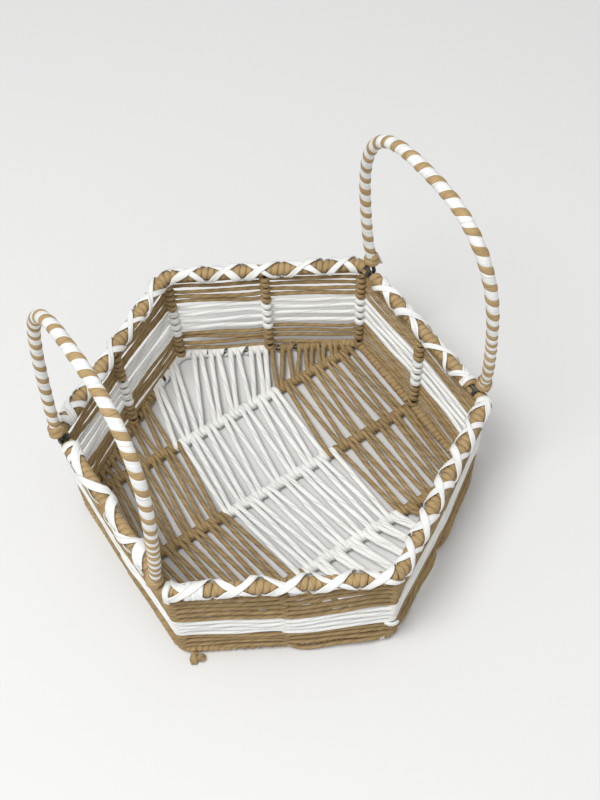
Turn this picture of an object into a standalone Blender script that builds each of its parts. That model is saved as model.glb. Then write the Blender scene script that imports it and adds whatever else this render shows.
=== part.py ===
"""Hexagonal basket of paper rope on a welded wire frame, with two wire handles that swing on the rim.

The origin is on the ground under the middle of the basket, +Z is up and +X points at a corner of the hexagon.
All lengths are in metres and all angles in radians.
"""

import math

import bmesh
import bpy
import numpy as np
from mathutils import Vector

# Wire frame
RIM_CORNER_RADIUS = 0.150
BASE_CORNER_RADIUS = 0.147
WALL_HEIGHT = 0.099
CORNER_ROUNDING = 0.012
RING_WIRE_RADIUS = 0.0015
STAKE_RADIUS = 0.00125
CROSS_WIRE_RADIUS = 0.00125
SEAT_GAP = 0.0003

# Rope
ROPE_RADIUS = 0.0021
FLAT_DEPTH_SHARE = 0.1
STAKE_WRAP_RADIUS = 0.0047
WALL_ROW_COUNT = 12
WALL_ROPE_NAMES = ("wall_rope_lower", "wall_rope_middle", "wall_rope_upper")
WALL_START_PAST_CORNER = 0.016
RIM_TO_TOP_ROW = 0.0070
BASE_TO_LOW_ROW = 0.0044

# Floor, its bands of strands from the left handle's side to the right one's
LEFT_STRAND_COUNT = 12
MIDDLE_STRAND_COUNT = 13
RIGHT_STRAND_COUNT = 11
MIDDLE_PITCH_SHARE = 1.18
RIGHT_PITCH_SHARE = 1.13
BAND_GAP_SHARE = 1.10
STRAND_EDGE_INSET = 0.0052
TURN_RISE_RUN = 0.0035
UNDER_RUN = 0.0020
STRAND_END_LENGTH = 0.0025
UNDERSIDE_TURN = math.radians(68)

# Windings on the rings
RIM_WINDING_RADIUS = 0.0048
BASE_WINDING_RADIUS = 0.00385
BASE_WINDING_LENGTH = 0.118
KNOT_RADIUS = 0.0026
KNOT_DROP = math.radians(30)
HOOK_SIDE_GAP = 0.0025

# Rim ribbons
RIBBONS_PER_SIDE = 5
RIBBON_SPAN = 0.0077
RIBBON_THICKNESS = 0.0006

# Handles
HANDLE_WIRE_RADIUS = 0.0015
HANDLE_HALF_WIDTH = 0.072
HANDLE_TOP = 0.171
HANDLE_WIDEST_HEIGHT = 0.064
HANDLE_SQUARENESS = 2.725
HANDLE_LEAN = math.radians(3.6)
HOOK_TURN = math.radians(240)
HOOK_STEPS = 10
HANDLE_STEPS = 26
HANDLE_BARE_LENGTH = 0.012
HANDLE_CORE_RADIUS = 0.0035
HANDLE_RIBBON_SPAN = 0.0095
HANDLE_RIBBON_THICKNESS = 0.0006
HANDLE_RIBBON_TURNS = 20

# Facets
WIRE_SIDES = 8
CORE_SIDES = 6
TURN_POINTS = 8
ARC_STEPS = 3
BORE_SIDES = 12
KNOT_SEGMENTS = 10
HALVINGS = 40
CUT_OVERRUN = 0.002

# Colours, as linear values
BROWN_PAPER = (0.434, 0.262, 0.102)
WHITE_PAPER = (0.80, 0.81, 0.80)
BARE_WIRE = (0.10, 0.11, 0.095)

SIDE_TURN = math.pi / 3
SIDE_NAMES = ("right", "back", "back_left", "left", "front", "front_right")
CORNER_NAMES = ("back_right", "back_left", "far_left", "front_left", "front_right", "far_right")
UP = Vector((0, 0, 1))

TURN_RADIUS = RING_WIRE_RADIUS + 2 * SEAT_GAP + ROPE_RADIUS
ROPE_FLAT = 2 * ROPE_RADIUS * FLAT_DEPTH_SHARE
TURN_DEPTH = TURN_RADIUS * math.sin(UNDERSIDE_TURN)
BASE_HEIGHT = TURN_DEPTH + ROPE_RADIUS - ROPE_FLAT
RIM_HEIGHT = BASE_HEIGHT + WALL_HEIGHT
STRAND_HEIGHT = BASE_HEIGHT + TURN_RADIUS
HOOK_RADIUS = RING_WIRE_RADIUS + SEAT_GAP + HANDLE_WIRE_RADIUS
WALL_OFFSET = STAKE_WRAP_RADIUS + ROPE_RADIUS + 2 * SEAT_GAP


def side_normal(side):
    """Outward direction of a side, counted anticlockwise from the right handle's side."""
    angle = SIDE_TURN * (side + 0.5)
    return Vector((math.cos(angle), math.sin(angle), 0))


class HexagonRing:
    """A level hexagon with rounded corners, walked by distance from the middle of the right handle's side."""

    def __init__(self, corner_radius, height):
        self.height = height
        self.apothem = corner_radius * math.cos(SIDE_TURN / 2)
        self.half_straight = corner_radius / 2 - CORNER_ROUNDING * math.tan(SIDE_TURN / 2)
        self.side_length = 2 * self.half_straight + CORNER_ROUNDING * SIDE_TURN

    def at(self, distance):
        """The point at a distance round the ring, and the outward direction there."""
        side = math.floor(distance / self.side_length + 0.5)
        along = distance - side * self.side_length
        normal = side_normal(side)
        tangent = UP.cross(normal)
        if abs(along) <= self.half_straight:
            return normal * self.apothem + tangent * along + UP * self.height, normal
        sign = math.copysign(1, along)
        turn = (abs(along) - self.half_straight) / CORNER_ROUNDING
        centre = normal * (self.apothem - CORNER_ROUNDING) + tangent * sign * self.half_straight
        outward = normal * math.cos(turn) + tangent * sign * math.sin(turn)
        return centre + outward * CORNER_ROUNDING + UP * self.height, outward

    def stations(self, start, end):
        """Distances from start to end that give every bend its points."""
        found = [start]
        first = math.floor(start / self.side_length - 0.5)
        last = math.ceil(end / self.side_length + 0.5)
        for side in range(first, last + 1):
            bend = side * self.side_length + self.half_straight
            for step in range(ARC_STEPS + 1):
                place = bend + (self.side_length - 2 * self.half_straight) * step / ARC_STEPS
                if start + SEAT_GAP < place < end - SEAT_GAP:
                    found.append(place)
        return found + [end]


RIM = HexagonRing(RIM_CORNER_RADIUS, RIM_HEIGHT)
BASE = HexagonRing(BASE_CORNER_RADIUS, BASE_HEIGHT)


def material(name, colour, roughness, metallic):
    made = bpy.data.materials.new(name)
    made.use_nodes = True
    shader = made.node_tree.nodes["Principled BSDF"]
    shader.inputs["Base Color"].default_value = (*colour, 1)
    shader.inputs["Roughness"].default_value = roughness
    shader.inputs["Metallic"].default_value = metallic
    return made


def add_object(name, data, finish, parent=None):
    made = bpy.data.objects.new(name, data)
    data.materials.append(finish)
    made.parent = parent
    bpy.context.collection.objects.link(made)
    return made


def tube(name, points, radius, finish, parent=None, closed=False, resolution=2):
    """A round bar or rope along points, with filled ends."""
    curve = bpy.data.curves.new(name, "CURVE")
    curve.dimensions = "3D"
    curve.bevel_depth = radius
    curve.bevel_resolution = resolution
    curve.use_fill_caps = True
    spline = curve.splines.new("POLY")
    spline.points.add(len(points) - 1)
    for spot, point in zip(spline.points, points):
        spot.co = (*point, 1)
    spline.use_cyclic_u = closed
    spline.use_smooth = True
    return add_object(name, curve, finish, parent)


def as_mesh(made):
    """The same object with its curve turned into a mesh, so that a Boolean can cut it."""
    graph = bpy.context.evaluated_depsgraph_get()
    mesh = bpy.data.meshes.new_from_object(made.evaluated_get(graph))
    name = made.name
    finish = made.data.materials[0]
    bpy.data.objects.remove(made)
    mesh.materials.clear()
    return add_object(name, mesh, finish)


def loft(name, rings, finish, parent=None, closed=False, sharp=math.radians(50)):
    """A skin through rings of points, with flat ends unless the rings come round to the first one."""
    shape = bmesh.new()
    skin = [[shape.verts.new(point) for point in ring] for ring in rings]
    pairs = list(zip(skin, skin[1:]))
    if closed:
        pairs.append((skin[-1], skin[0]))
    for ring, after in pairs:
        for here in range(len(ring)):
            there = (here + 1) % len(ring)
            shape.faces.new((ring[here], ring[there], after[there], after[here]))
    if not closed:
        shape.faces.new(skin[0])
        shape.faces.new(skin[-1])
    bmesh.ops.recalc_face_normals(shape, faces=shape.faces)
    bmesh.ops.triangulate(shape, faces=shape.faces, quad_method="SHORT_EDGE")
    mesh = bpy.data.meshes.new(name)
    shape.to_mesh(mesh)
    shape.free()
    mesh.shade_smooth()
    mesh.set_sharp_from_angle(angle=sharp)
    return add_object(name, mesh, finish, parent)


def circle(centre, first, second, radius, sides):
    """Points of a circle from the direction first towards the direction second."""
    turns = [2 * math.pi * step / sides for step in range(sides)]
    return [centre + (first * math.cos(turn) + second * math.sin(turn)) * radius for turn in turns]


def cutter_rod(name, start, end, radius):
    """A hidden rod for cutting a bore."""
    axis = (end - start).normalized()
    first = axis.orthogonal().normalized()
    second = axis.cross(first)
    across = radius / math.cos(math.pi / BORE_SIDES)
    rings = [circle(spot, first, second, across, BORE_SIDES) for spot in (start, end)]
    rod = loft(name, rings, WIRE)
    rod.hide_render = True
    rod.display_type = "WIRE"
    return rod


def cut(made, cutter):
    modifier = made.modifiers.new(cutter.name, "BOOLEAN")
    modifier.operation = "DIFFERENCE"
    modifier.object = cutter


def sleeve_rings(ring, start, end, radius, sides):
    """Circles round a ring's wire from start to end."""
    rings = []
    for distance in ring.stations(start, end):
        centre, outward = ring.at(distance)
        rings.append(circle(centre, outward, UP, radius, sides))
    return rings


def winding_round(name, ring, start, end, radius, finish):
    """The roll of turns round a ring's wire, with its bore."""
    bore_radius = (RING_WIRE_RADIUS + SEAT_GAP) / math.cos(math.pi / WIRE_SIDES)
    outer = sleeve_rings(ring, start, end, radius, WIRE_SIDES)
    inner = sleeve_rings(ring, start, end, bore_radius, WIRE_SIDES)
    return loft(name, outer + inner[::-1], finish, closed=True)


def least_gap(points, radius, skipped):
    """Least space between turns of one winding, from points that lie over skipped steps apart."""
    places = np.array([tuple(point) for point in points])
    least = math.inf
    for index in range(len(places) - skipped):
        start = places[index + skipped : -1]
        run = places[index + skipped + 1 :] - start
        if not len(run):
            continue
        share = np.einsum("ij,ij->i", places[index] - start, run) / np.einsum("ij,ij->i", run, run)
        nearest = start + run * np.clip(share, 0, 1)[:, None]
        least = min(least, float(np.linalg.norm(nearest - places[index], axis=1).min()))
    return least - 2 * radius


def stake_place(index):
    """Where a stake stands on the base ring and where it meets the rim, with its outward direction."""
    foot, outward = BASE.at(index * BASE.side_length / 2)
    head, _ = RIM.at(index * RIM.side_length / 2)
    return foot, head, outward


def stake_name(index):
    side, at_corner = divmod(index, 2)
    return f"corner_{CORNER_NAMES[side]}" if at_corner else f"side_{SIDE_NAMES[side]}"


def build_frame():
    """The rings, stakes and cross wires of the welded frame."""
    for name, ring in (("rim_wire_ring", RIM), ("base_wire_ring", BASE)):
        around = ring.stations(0, 6 * ring.side_length)[:-1]
        tube(name, [ring.at(distance)[0] for distance in around], RING_WIRE_RADIUS, WIRE, closed=True)
    inset = RING_WIRE_RADIUS + SEAT_GAP
    for index in range(12):
        foot, head, _ = stake_place(index)
        along = (head - foot).normalized()
        name = f"stake_{stake_name(index)}"
        tube(name, [foot + along * inset, head - along * inset], STAKE_RADIUS, WIRE)
    for number, side in enumerate((0.5, 0, -0.5)):
        tube(f"cross_wire_{number + 1}", cross_wire_ends(side), CROSS_WIRE_RADIUS, WIRE)


def cross_wire_ends(side):
    """Both ends of the cross wire that meets the handles' sides at a share of a side from their middle."""
    right, outward = BASE.at(side * BASE.side_length)
    across = side_normal(0)
    slant = outward.angle(across)
    setback = (RING_WIRE_RADIUS + SEAT_GAP) / math.cos(slant) + CROSS_WIRE_RADIUS * math.tan(slant)
    right = right - across * setback
    return right, right - across * 2 * right.dot(across)


def build_stake_wraps():
    """The stack of rope turns round each stake, clear of the rolls above and below it."""
    low = TURN_RADIUS + ROPE_RADIUS + SEAT_GAP
    high = ribbon_radii(1)[1] + 2 * SEAT_GAP
    bore_radius = (STAKE_RADIUS + SEAT_GAP) / math.cos(math.pi / WIRE_SIDES)
    for index in range(12):
        foot, head, outward = stake_place(index)
        along = (head - foot).normalized()
        sideways = along.cross(outward)
        ends = (foot + along * low, head - along * high)
        outer = [circle(end, outward, sideways, STAKE_WRAP_RADIUS, WIRE_SIDES) for end in ends]
        inner = [circle(end, outward, sideways, bore_radius, WIRE_SIDES) for end in ends]
        loft(f"wrap_{stake_name(index)}", outer + inner[::-1], BROWN, closed=True)


def build_wall_ropes():
    """Three ropes on one spiral outside the stakes, clockwise and up from just past a front corner."""
    loop = 6 * BASE.side_length
    first = 1.5 * BASE.side_length + WALL_START_PAST_CORNER
    rows = WALL_ROW_COUNT // len(WALL_ROPE_NAMES)
    gap_turns = SEAT_GAP / loop
    for number, name in enumerate(WALL_ROPE_NAMES):
        start = first + (number * rows + gap_turns) * loop
        end = first + ((number + 1) * rows - gap_turns) * loop
        stops = wall_stations(start, end)
        points = [spiral_point(stop, first, loop) for stop in stops]
        finish = WHITE if number == 1 else BROWN
        tube(name, points, ROPE_RADIUS, finish, resolution=1)
        print(name, "least gap to itself", round(least_gap(points, ROPE_RADIUS, 9) * 1000, 2), "mm")


def wall_stations(start, end):
    """Distances of a wall rope's points: both ends and the middle of each bend."""
    bend_length = BASE.side_length - 2 * BASE.half_straight
    stops = [start]
    for side in range(math.floor(start / BASE.side_length), math.ceil(end / BASE.side_length) + 1):
        for share in (0, 0.5, 1):
            place = side * BASE.side_length + BASE.half_straight + bend_length * share
            if start + 2 * ROPE_RADIUS < place < end - 2 * ROPE_RADIUS:
                stops.append(place)
    return stops + [end]


def spiral_point(distance, first, loop):
    """A point of the wall's spiral at a distance clockwise round the base ring."""
    risen = (distance - first) / (loop * WALL_ROW_COUNT)
    rise = WALL_HEIGHT - BASE_TO_LOW_ROW - RIM_TO_TOP_ROW
    share = (BASE_TO_LOW_ROW + rise * risen) / WALL_HEIGHT
    low, outward = BASE.at(-distance)
    high, _ = RIM.at(-distance * RIM.side_length / BASE.side_length)
    return low.lerp(high, share) + outward * WALL_OFFSET


def clear_of_stakes(laterals):
    """Places across the floor, moved aside where a strand would run into a stake or into its neighbour."""
    reach = ROPE_RADIUS + STAKE_RADIUS + 2 * SEAT_GAP
    apart = 2 * (ROPE_RADIUS + SEAT_GAP)
    spread = BASE.at(BASE.side_length)[0].dot(side_normal(0))
    for stake in (-spread, 0, spread):
        left = [lateral for lateral in laterals if lateral < stake]
        right = [lateral for lateral in laterals if lateral >= stake]
        limit = stake - reach
        for index in range(len(left) - 1, -1, -1):
            left[index] = min(left[index], limit)
            limit = left[index] - apart
        limit = stake + reach
        for index in range(len(right)):
            right[index] = max(right[index], limit)
            limit = right[index] + apart
        laterals = left + right
    return laterals


def edge_of_floor(lateral, end):
    """How far from the middle a strand meets the base ring, and how squarely it crosses the wire there."""
    across = side_normal(0)
    along = UP.cross(across) * end
    near, far = (0.5, 2.5) if end > 0 else (5.5, 3.5)
    for _ in range(HALVINGS):
        middle = (near + far) / 2
        point, outward = BASE.at(middle * BASE.side_length)
        if point.dot(across) > lateral:
            near = middle
        else:
            far = middle
    return point.dot(along), outward.dot(along)


def floor_point(lateral, forward, height):
    across = side_normal(0)
    along = UP.cross(across)
    return across * lateral + along * forward + UP * height


def strand_turn(before, after, end):
    """Points of a rope that loops over the base ring from one strand to the next and comes back inside."""
    points = []
    top = math.pi / 2
    down = (top + UNDERSIDE_TURN) / 3
    turns = (top, top - down, top - 2 * down, -UNDERSIDE_TURN, UNDERSIDE_TURN - math.pi)
    for share, turn in zip((0, 0, 0.25, 0.55, 0.75), turns):
        points.append(turn_point(before + (after - before) * share, end, turn))
    edge, facing = edge_of_floor(after, end)
    inside = edge - TURN_RADIUS / facing
    wire = cross_wire_ends(0.5)[0].dot(UP.cross(side_normal(0)))
    wire_clearance = CROSS_WIRE_RADIUS + ROPE_RADIUS + SEAT_GAP
    if inside - wire > wire_clearance + UNDER_RUN:
        points.append(turn_point(after, end, UNDERSIDE_TURN - math.pi - down))
        points.append((after, inside - TURN_RISE_RUN, STRAND_HEIGHT))
    else:
        rise = wire - wire_clearance - UNDER_RUN
        points.append((after, wire - UNDER_RUN, BASE_HEIGHT - TURN_DEPTH))
        points.append((after, rise - SEAT_GAP, BASE_HEIGHT))
        points.append((after, rise - TURN_RISE_RUN, STRAND_HEIGHT))
    return [floor_point(lateral, forward * end, height) for lateral, forward, height in points]


def turn_point(lateral, end, turn):
    """A point of a loop round the base ring: a quarter turn is on top of the wire and zero outside it."""
    edge, facing = edge_of_floor(lateral, end)
    forward = edge + TURN_RADIUS * math.cos(turn) / facing
    return lateral, forward, BASE_HEIGHT + TURN_RADIUS * math.sin(turn)


def build_floor_rope(name, laterals, finish, trim):
    """One rope that runs to and fro over the cross wires, cut flat where it stands on the ground."""
    end = 1
    edge, _ = edge_of_floor(laterals[0], -end)
    points = [floor_point(laterals[0], -end * (edge + STRAND_END_LENGTH), STRAND_HEIGHT)]
    for before, after in zip(laterals, laterals[1:]):
        points += strand_turn(before, after, end)
        end = -end
    edge, _ = edge_of_floor(laterals[-1], end)
    points.append(floor_point(laterals[-1], end * (edge + STRAND_END_LENGTH), STRAND_HEIGHT))
    rope = as_mesh(tube(name, points, ROPE_RADIUS, finish, resolution=1))
    cut(rope, trim)


def strand_laterals():
    """Places across the floor of all strands, whose bands share the width between the handles' sides."""
    counts = (LEFT_STRAND_COUNT, MIDDLE_STRAND_COUNT, RIGHT_STRAND_COUNT)
    shares = []
    for count, pitch_share in zip(counts, (1, MIDDLE_PITCH_SHARE, RIGHT_PITCH_SHARE)):
        shares += [BAND_GAP_SHARE] + [pitch_share] * (count - 1)
    edge = BASE.apothem - STRAND_EDGE_INSET
    pitch = 2 * edge / sum(shares[1:])
    return [-edge + pitch * sum(shares[1:index + 1]) for index in range(len(shares))]


def build_floor():
    """Bands of strands across the floor, from the left handle's side to the right one's."""
    laterals = clear_of_stakes(strand_laterals())
    trim = build_trim()
    middle = LEFT_STRAND_COUNT
    right = LEFT_STRAND_COUNT + MIDDLE_STRAND_COUNT
    build_floor_rope("floor_rope_left", laterals[:middle], BROWN, trim)
    build_floor_rope("floor_rope_middle", laterals[middle:right], WHITE, trim)
    build_floor_rope("floor_rope_right", laterals[right:], BROWN, trim)
    build_knot(laterals)


def build_trim():
    """The hidden slab under the ground that cuts the floor ropes flat."""
    reach = BASE_CORNER_RADIUS + 2 * TURN_RADIUS + CUT_OVERRUN
    corners = [Vector((x * reach, y * reach, 0)) for x, y in ((-1, -1), (1, -1), (1, 1), (-1, 1))]
    depth = UP * (ROPE_RADIUS + CUT_OVERRUN)
    slab = loft("ground_trim", [corners, [corner - depth for corner in corners]], WIRE)
    slab.hide_render = True
    slab.display_type = "WIRE"
    return slab


def build_base_windings():
    """Tight turns on the base ring's sides that run along the strands."""
    half = BASE_WINDING_LENGTH / 2
    wire_ends = cross_wire_ends(0)
    windings = (("base_winding_right", 0, wire_ends[0]), ("base_winding_left", 3, wire_ends[1]))
    for name, side, wire_end in windings:
        middle = side * BASE.side_length
        winding = winding_round(name, BASE, middle - half, middle + half, BASE_WINDING_RADIUS, BROWN)
        foot, head, _ = stake_place(2 * side)
        bore = STAKE_RADIUS + SEAT_GAP
        cut(winding, cutter_rod(f"{name}_stake_bore", foot, foot.lerp(head, 0.5), bore))
        inside = wire_end * 0.5 + foot * 0.5 - side_normal(side) * STAKE_WRAP_RADIUS
        inside.z = foot.z
        cut(winding, cutter_rod(f"{name}_wire_bore", inside, foot, CROSS_WIRE_RADIUS + SEAT_GAP))


def build_knot(laterals):
    """The knot that ends the left floor rope, outside its first loop at the left front corner."""
    lateral, forward, height = turn_point((laterals[1] + laterals[2]) / 2, -1, 0)
    seat = floor_point(lateral, -forward, height)
    outward = BASE.at(4 * BASE.side_length)[1]
    shape = bmesh.new()
    rows = KNOT_SEGMENTS // 2
    bmesh.ops.create_uvsphere(shape, u_segments=KNOT_SEGMENTS, v_segments=rows, radius=KNOT_RADIUS)
    mesh = bpy.data.meshes.new("rope_end_knot")
    shape.to_mesh(mesh)
    shape.free()
    mesh.shade_smooth()
    knot = add_object("rope_end_knot", mesh, BROWN)
    away = outward * math.cos(KNOT_DROP) - UP * math.sin(KNOT_DROP)
    knot.location = seat + away * (ROPE_RADIUS + SEAT_GAP + KNOT_RADIUS)


def ribbon_radii(layer):
    """Inner and outer radius of a rim ribbon: layer 0 lies on the roll, and layer 1 crosses over it."""
    gap = SEAT_GAP / math.cos(math.pi / TURN_POINTS)
    inner = RIM_WINDING_RADIUS + gap + layer * (RIBBON_THICKNESS + gap)
    return inner, inner + RIBBON_THICKNESS


def build_rim_section(name, start, end, stakes):
    """A stretch of the rim's roll with its two crossing ribbons."""
    winding = winding_round(f"rim_winding_{name}", RIM, start, end, RIM_WINDING_RADIUS, BROWN)
    for index in stakes:
        foot, head, _ = stake_place(index)
        bore = STAKE_RADIUS + SEAT_GAP
        cut(winding, cutter_rod(f"rim_bore_{stake_name(index)}", foot.lerp(head, 0.5), head, bore))
    for layer, hand in enumerate((1, -1)):
        build_rim_ribbon(f"rim_ribbon_{name}_{layer + 1}", start, end, layer, hand)


def build_rim_ribbon(name, start, end, layer, hand):
    """A flat ribbon wound along the rim's roll, its low points a quarter of a turn from the stakes."""
    period = RIM.side_length / RIBBONS_PER_SIDE
    step_length = period / TURN_POINTS
    low, high = ribbon_radii(layer)
    half = RIBBON_SPAN / 2
    first = math.ceil((start + half) / step_length)
    last = math.floor((end - half) / step_length)
    rings = []
    middles = []
    for step in range(first, last + 1):
        angle = -math.pi / 2 + hand * 2 * math.pi * (step / TURN_POINTS - 0.25)
        ring = []
        for shift, radius in ((-half, low), (0, low), (half, low), (half, high), (0, high), (-half, high)):
            centre, outward = RIM.at(step * step_length + shift)
            ring.append(centre + (outward * math.cos(angle) + UP * math.sin(angle)) * radius)
        rings.append(ring)
        middles.append(sum(ring, Vector()) / len(ring))
    loft(name, rings, WHITE)
    print(name, "least gap to itself", round((least_gap(middles, half, TURN_POINTS)) * 1000, 2), "mm")


def hook_place():
    """How far from the middle of its side a handle's foot stands."""
    return float(arch_points()[0][1])


def arch_points():
    """The handle's arch as evenly spaced points from foot to foot, in its hinge's frame."""
    rise = HANDLE_TOP - HANDLE_WIDEST_HEIGHT
    power = 2 / HANDLE_SQUARENESS
    foot_share = (HANDLE_WIDEST_HEIGHT / rise) ** (1 / power)
    foot_angle = -math.asin(foot_share)
    angles = np.linspace(foot_angle, math.pi - foot_angle, 40 * HANDLE_STEPS)
    across = np.sign(np.cos(angles)) * np.abs(np.cos(angles)) ** power * HANDLE_HALF_WIDTH
    up = HANDLE_WIDEST_HEIGHT + np.sign(np.sin(angles)) * np.abs(np.sin(angles)) ** power * rise
    runs = np.concatenate([[0], np.cumsum(np.hypot(np.diff(across), np.diff(up)))])
    core = runs[-1] - 2 * HANDLE_BARE_LENGTH
    stops = HANDLE_BARE_LENGTH + core * np.arange(HANDLE_STEPS + 1) / HANDLE_STEPS
    stops = np.concatenate([[0], stops, [runs[-1]]])
    across = np.interp(stops, runs, across)
    up = np.interp(stops, runs, up)
    return [Vector((HOOK_RADIUS, float(side), float(height))) for side, height in zip(across, up)]


def arch_frames(points):
    """The direction square to the arch in its plane, at each of its points."""
    frames = []
    for index, _ in enumerate(points):
        before = points[max(index - 1, 0)]
        after = points[min(index + 1, len(points) - 1)]
        frames.append((after - before).normalized().cross(Vector((1, 0, 0))))
    return frames


def hook_points(foot, turn_from, turn_to):
    """The open hook round the rim's wire, in the plane square to that wire."""
    turns = [turn_from + (turn_to - turn_from) * step / HOOK_STEPS for step in range(HOOK_STEPS + 1)]
    return [Vector((HOOK_RADIUS * math.cos(turn), foot, HOOK_RADIUS * math.sin(turn))) for turn in turns]


def build_handle(name, side):
    """A wire arch hooked on the rim's wire and leaning a little inward, with its core and its ribbon."""
    middle, outward = RIM.at(side * RIM.side_length)
    hinge = bpy.data.objects.new(f"{name}_hinge", None)
    hinge.location = middle
    hinge.rotation_euler = (0, -HANDLE_LEAN, math.atan2(outward.y, outward.x))
    bpy.context.collection.objects.link(hinge)
    arch = arch_points()
    wire = hook_points(arch[0].y, -HOOK_TURN, 0)[:-1] + arch + hook_points(arch[-1].y, 0, -HOOK_TURN)[1:]
    tube(f"{name}_wire", wire, HANDLE_WIRE_RADIUS, WIRE, parent=hinge, resolution=1)
    wound = arch[1:-1]
    squares = arch_frames(arch)[1:-1]
    sideways = Vector((1, 0, 0))
    bore_radius = (HANDLE_WIRE_RADIUS + SEAT_GAP) / math.cos(math.pi / CORE_SIDES)
    places = list(zip(wound, squares))
    outer = [circle(spot, square, sideways, HANDLE_CORE_RADIUS, CORE_SIDES) for spot, square in places]
    inner = [circle(spot, square, sideways, bore_radius, CORE_SIDES) for spot, square in places]
    loft(f"{name}_core", outer + inner[::-1], BROWN, parent=hinge, closed=True)
    build_handle_ribbon(f"{name}_ribbon", wound, squares, hinge)


def build_handle_ribbon(name, wound, squares, hinge):
    """The white ribbon wound along the handle's core."""
    places = np.array([tuple(spot) for spot in wound])
    normals = np.array([tuple(square) for square in squares])
    runs = np.concatenate([[0], np.cumsum(np.linalg.norm(np.diff(places, axis=0), axis=1))])
    half = HANDLE_RIBBON_SPAN / 2
    low = (HANDLE_CORE_RADIUS + SEAT_GAP) / math.cos(math.pi / TURN_POINTS)
    high = low + HANDLE_RIBBON_THICKNESS
    sideways = Vector((1, 0, 0))
    rings = []
    middles = []
    steps = HANDLE_RIBBON_TURNS * TURN_POINTS
    for step in range(steps + 1):
        angle = 2 * math.pi * step / TURN_POINTS
        stop = half + (runs[-1] - HANDLE_RIBBON_SPAN) * step / steps
        ring = []
        for shift, radius in ((-half, low), (half, low), (half, high), (-half, high)):
            centre = Vector([float(np.interp(stop + shift, runs, places[:, axis])) for axis in range(3)])
            square = Vector([float(np.interp(stop + shift, runs, normals[:, axis])) for axis in range(3)])
            square.normalize()
            ring.append(centre + (square * math.cos(angle) + sideways * math.sin(angle)) * radius)
        rings.append(ring)
        middles.append(sum(ring, Vector()) / 4)
    loft(name, rings, WHITE, parent=hinge)
    print(name, "least gap to itself", round((least_gap(middles, half, TURN_POINTS)) * 1000, 2), "mm")


def build_rim():
    """The rim's rolls and ribbons, parted at the four gaps where the handles hook on."""
    hook = hook_place()
    inner = hook - HANDLE_WIRE_RADIUS - HOOK_SIDE_GAP
    outer = hook + HANDLE_WIRE_RADIUS + HOOK_SIDE_GAP
    side = RIM.side_length
    build_rim_section("right", -inner, inner, (0,))
    build_rim_section("back", outer, 3 * side - outer, (1, 2, 3, 4, 5))
    build_rim_section("left", 3 * side - inner, 3 * side + inner, (6,))
    build_rim_section("front", 3 * side + outer, 6 * side - outer, (7, 8, 9, 10, 11))


for leftover in list(bpy.data.objects):
    bpy.data.objects.remove(leftover)

BROWN = material("brown_paper_rope", BROWN_PAPER, 0.8, 0.0)
WHITE = material("white_paper_rope", WHITE_PAPER, 0.75, 0.0)
WIRE = material("bare_wire", BARE_WIRE, 0.45, 0.8)

build_frame()
build_stake_wraps()
build_wall_ropes()
build_floor()
build_base_windings()
build_rim()
build_handle("handle_right", 0)
build_handle("handle_left", 3)
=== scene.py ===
"""Looks of the hexagonal basket: brown and white paper rope woven over its packed wire frame.

Every rope, ribbon and winding is drawn along the line that it really takes, and one Geometry Nodes tree gives
these lines their body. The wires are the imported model's own, with a finish of bare drawn steel.
"""

import logging
import math
import random
from dataclasses import dataclass, field
from enum import Enum
from typing import Any

import bpy
import numpy as np
from mathutils import Matrix, Vector


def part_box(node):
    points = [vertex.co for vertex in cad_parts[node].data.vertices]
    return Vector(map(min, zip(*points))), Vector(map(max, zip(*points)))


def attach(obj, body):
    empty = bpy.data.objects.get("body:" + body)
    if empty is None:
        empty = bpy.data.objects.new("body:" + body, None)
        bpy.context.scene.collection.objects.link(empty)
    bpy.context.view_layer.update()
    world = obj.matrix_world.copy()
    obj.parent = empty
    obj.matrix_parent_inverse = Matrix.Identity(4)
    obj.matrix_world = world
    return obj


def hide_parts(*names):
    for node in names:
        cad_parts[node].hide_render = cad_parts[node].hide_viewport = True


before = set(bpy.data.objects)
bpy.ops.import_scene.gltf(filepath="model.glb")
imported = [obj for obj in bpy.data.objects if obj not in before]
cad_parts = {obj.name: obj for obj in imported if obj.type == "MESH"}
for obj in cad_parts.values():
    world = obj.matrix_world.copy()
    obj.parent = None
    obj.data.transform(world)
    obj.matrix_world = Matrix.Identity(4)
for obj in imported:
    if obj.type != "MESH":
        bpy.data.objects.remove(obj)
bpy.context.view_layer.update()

LOG = logging.getLogger("basket")
MM = 0.001
UP = np.array((0.0, 0.0, 1.0))
SIDE_TURN = math.pi / 3
FULL_TURN = 2 * math.pi

Colour = tuple[float, float, float]
Triples = tuple[tuple[float, float, float], ...]


class Body(Enum):
    """The bodies that a piece can ride on."""

    BASKET = "basket"
    RIGHT_HANDLE = "handle_right"
    LEFT_HANDLE = "handle_left"


class Slot(Enum):
    """The two colours of the ropes; the wires keep their own finish."""

    BROWN = "brown_paper_rope"
    WHITE = "white_paper_rope"


def unit(vector: np.ndarray) -> np.ndarray:
    """The vector at a length of one."""
    return vector / np.linalg.norm(vector)


def turned(first: np.ndarray, second: np.ndarray, angle: float) -> np.ndarray:
    """The direction at an angle from the first of two square directions toward the second."""
    return first * math.cos(angle) + second * math.sin(angle)


def eased(share: float) -> float:
    """A share held between zero and one, with soft ends."""
    share = min(max(share, 0.0), 1.0)
    return share * share * (3 - 2 * share)


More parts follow.
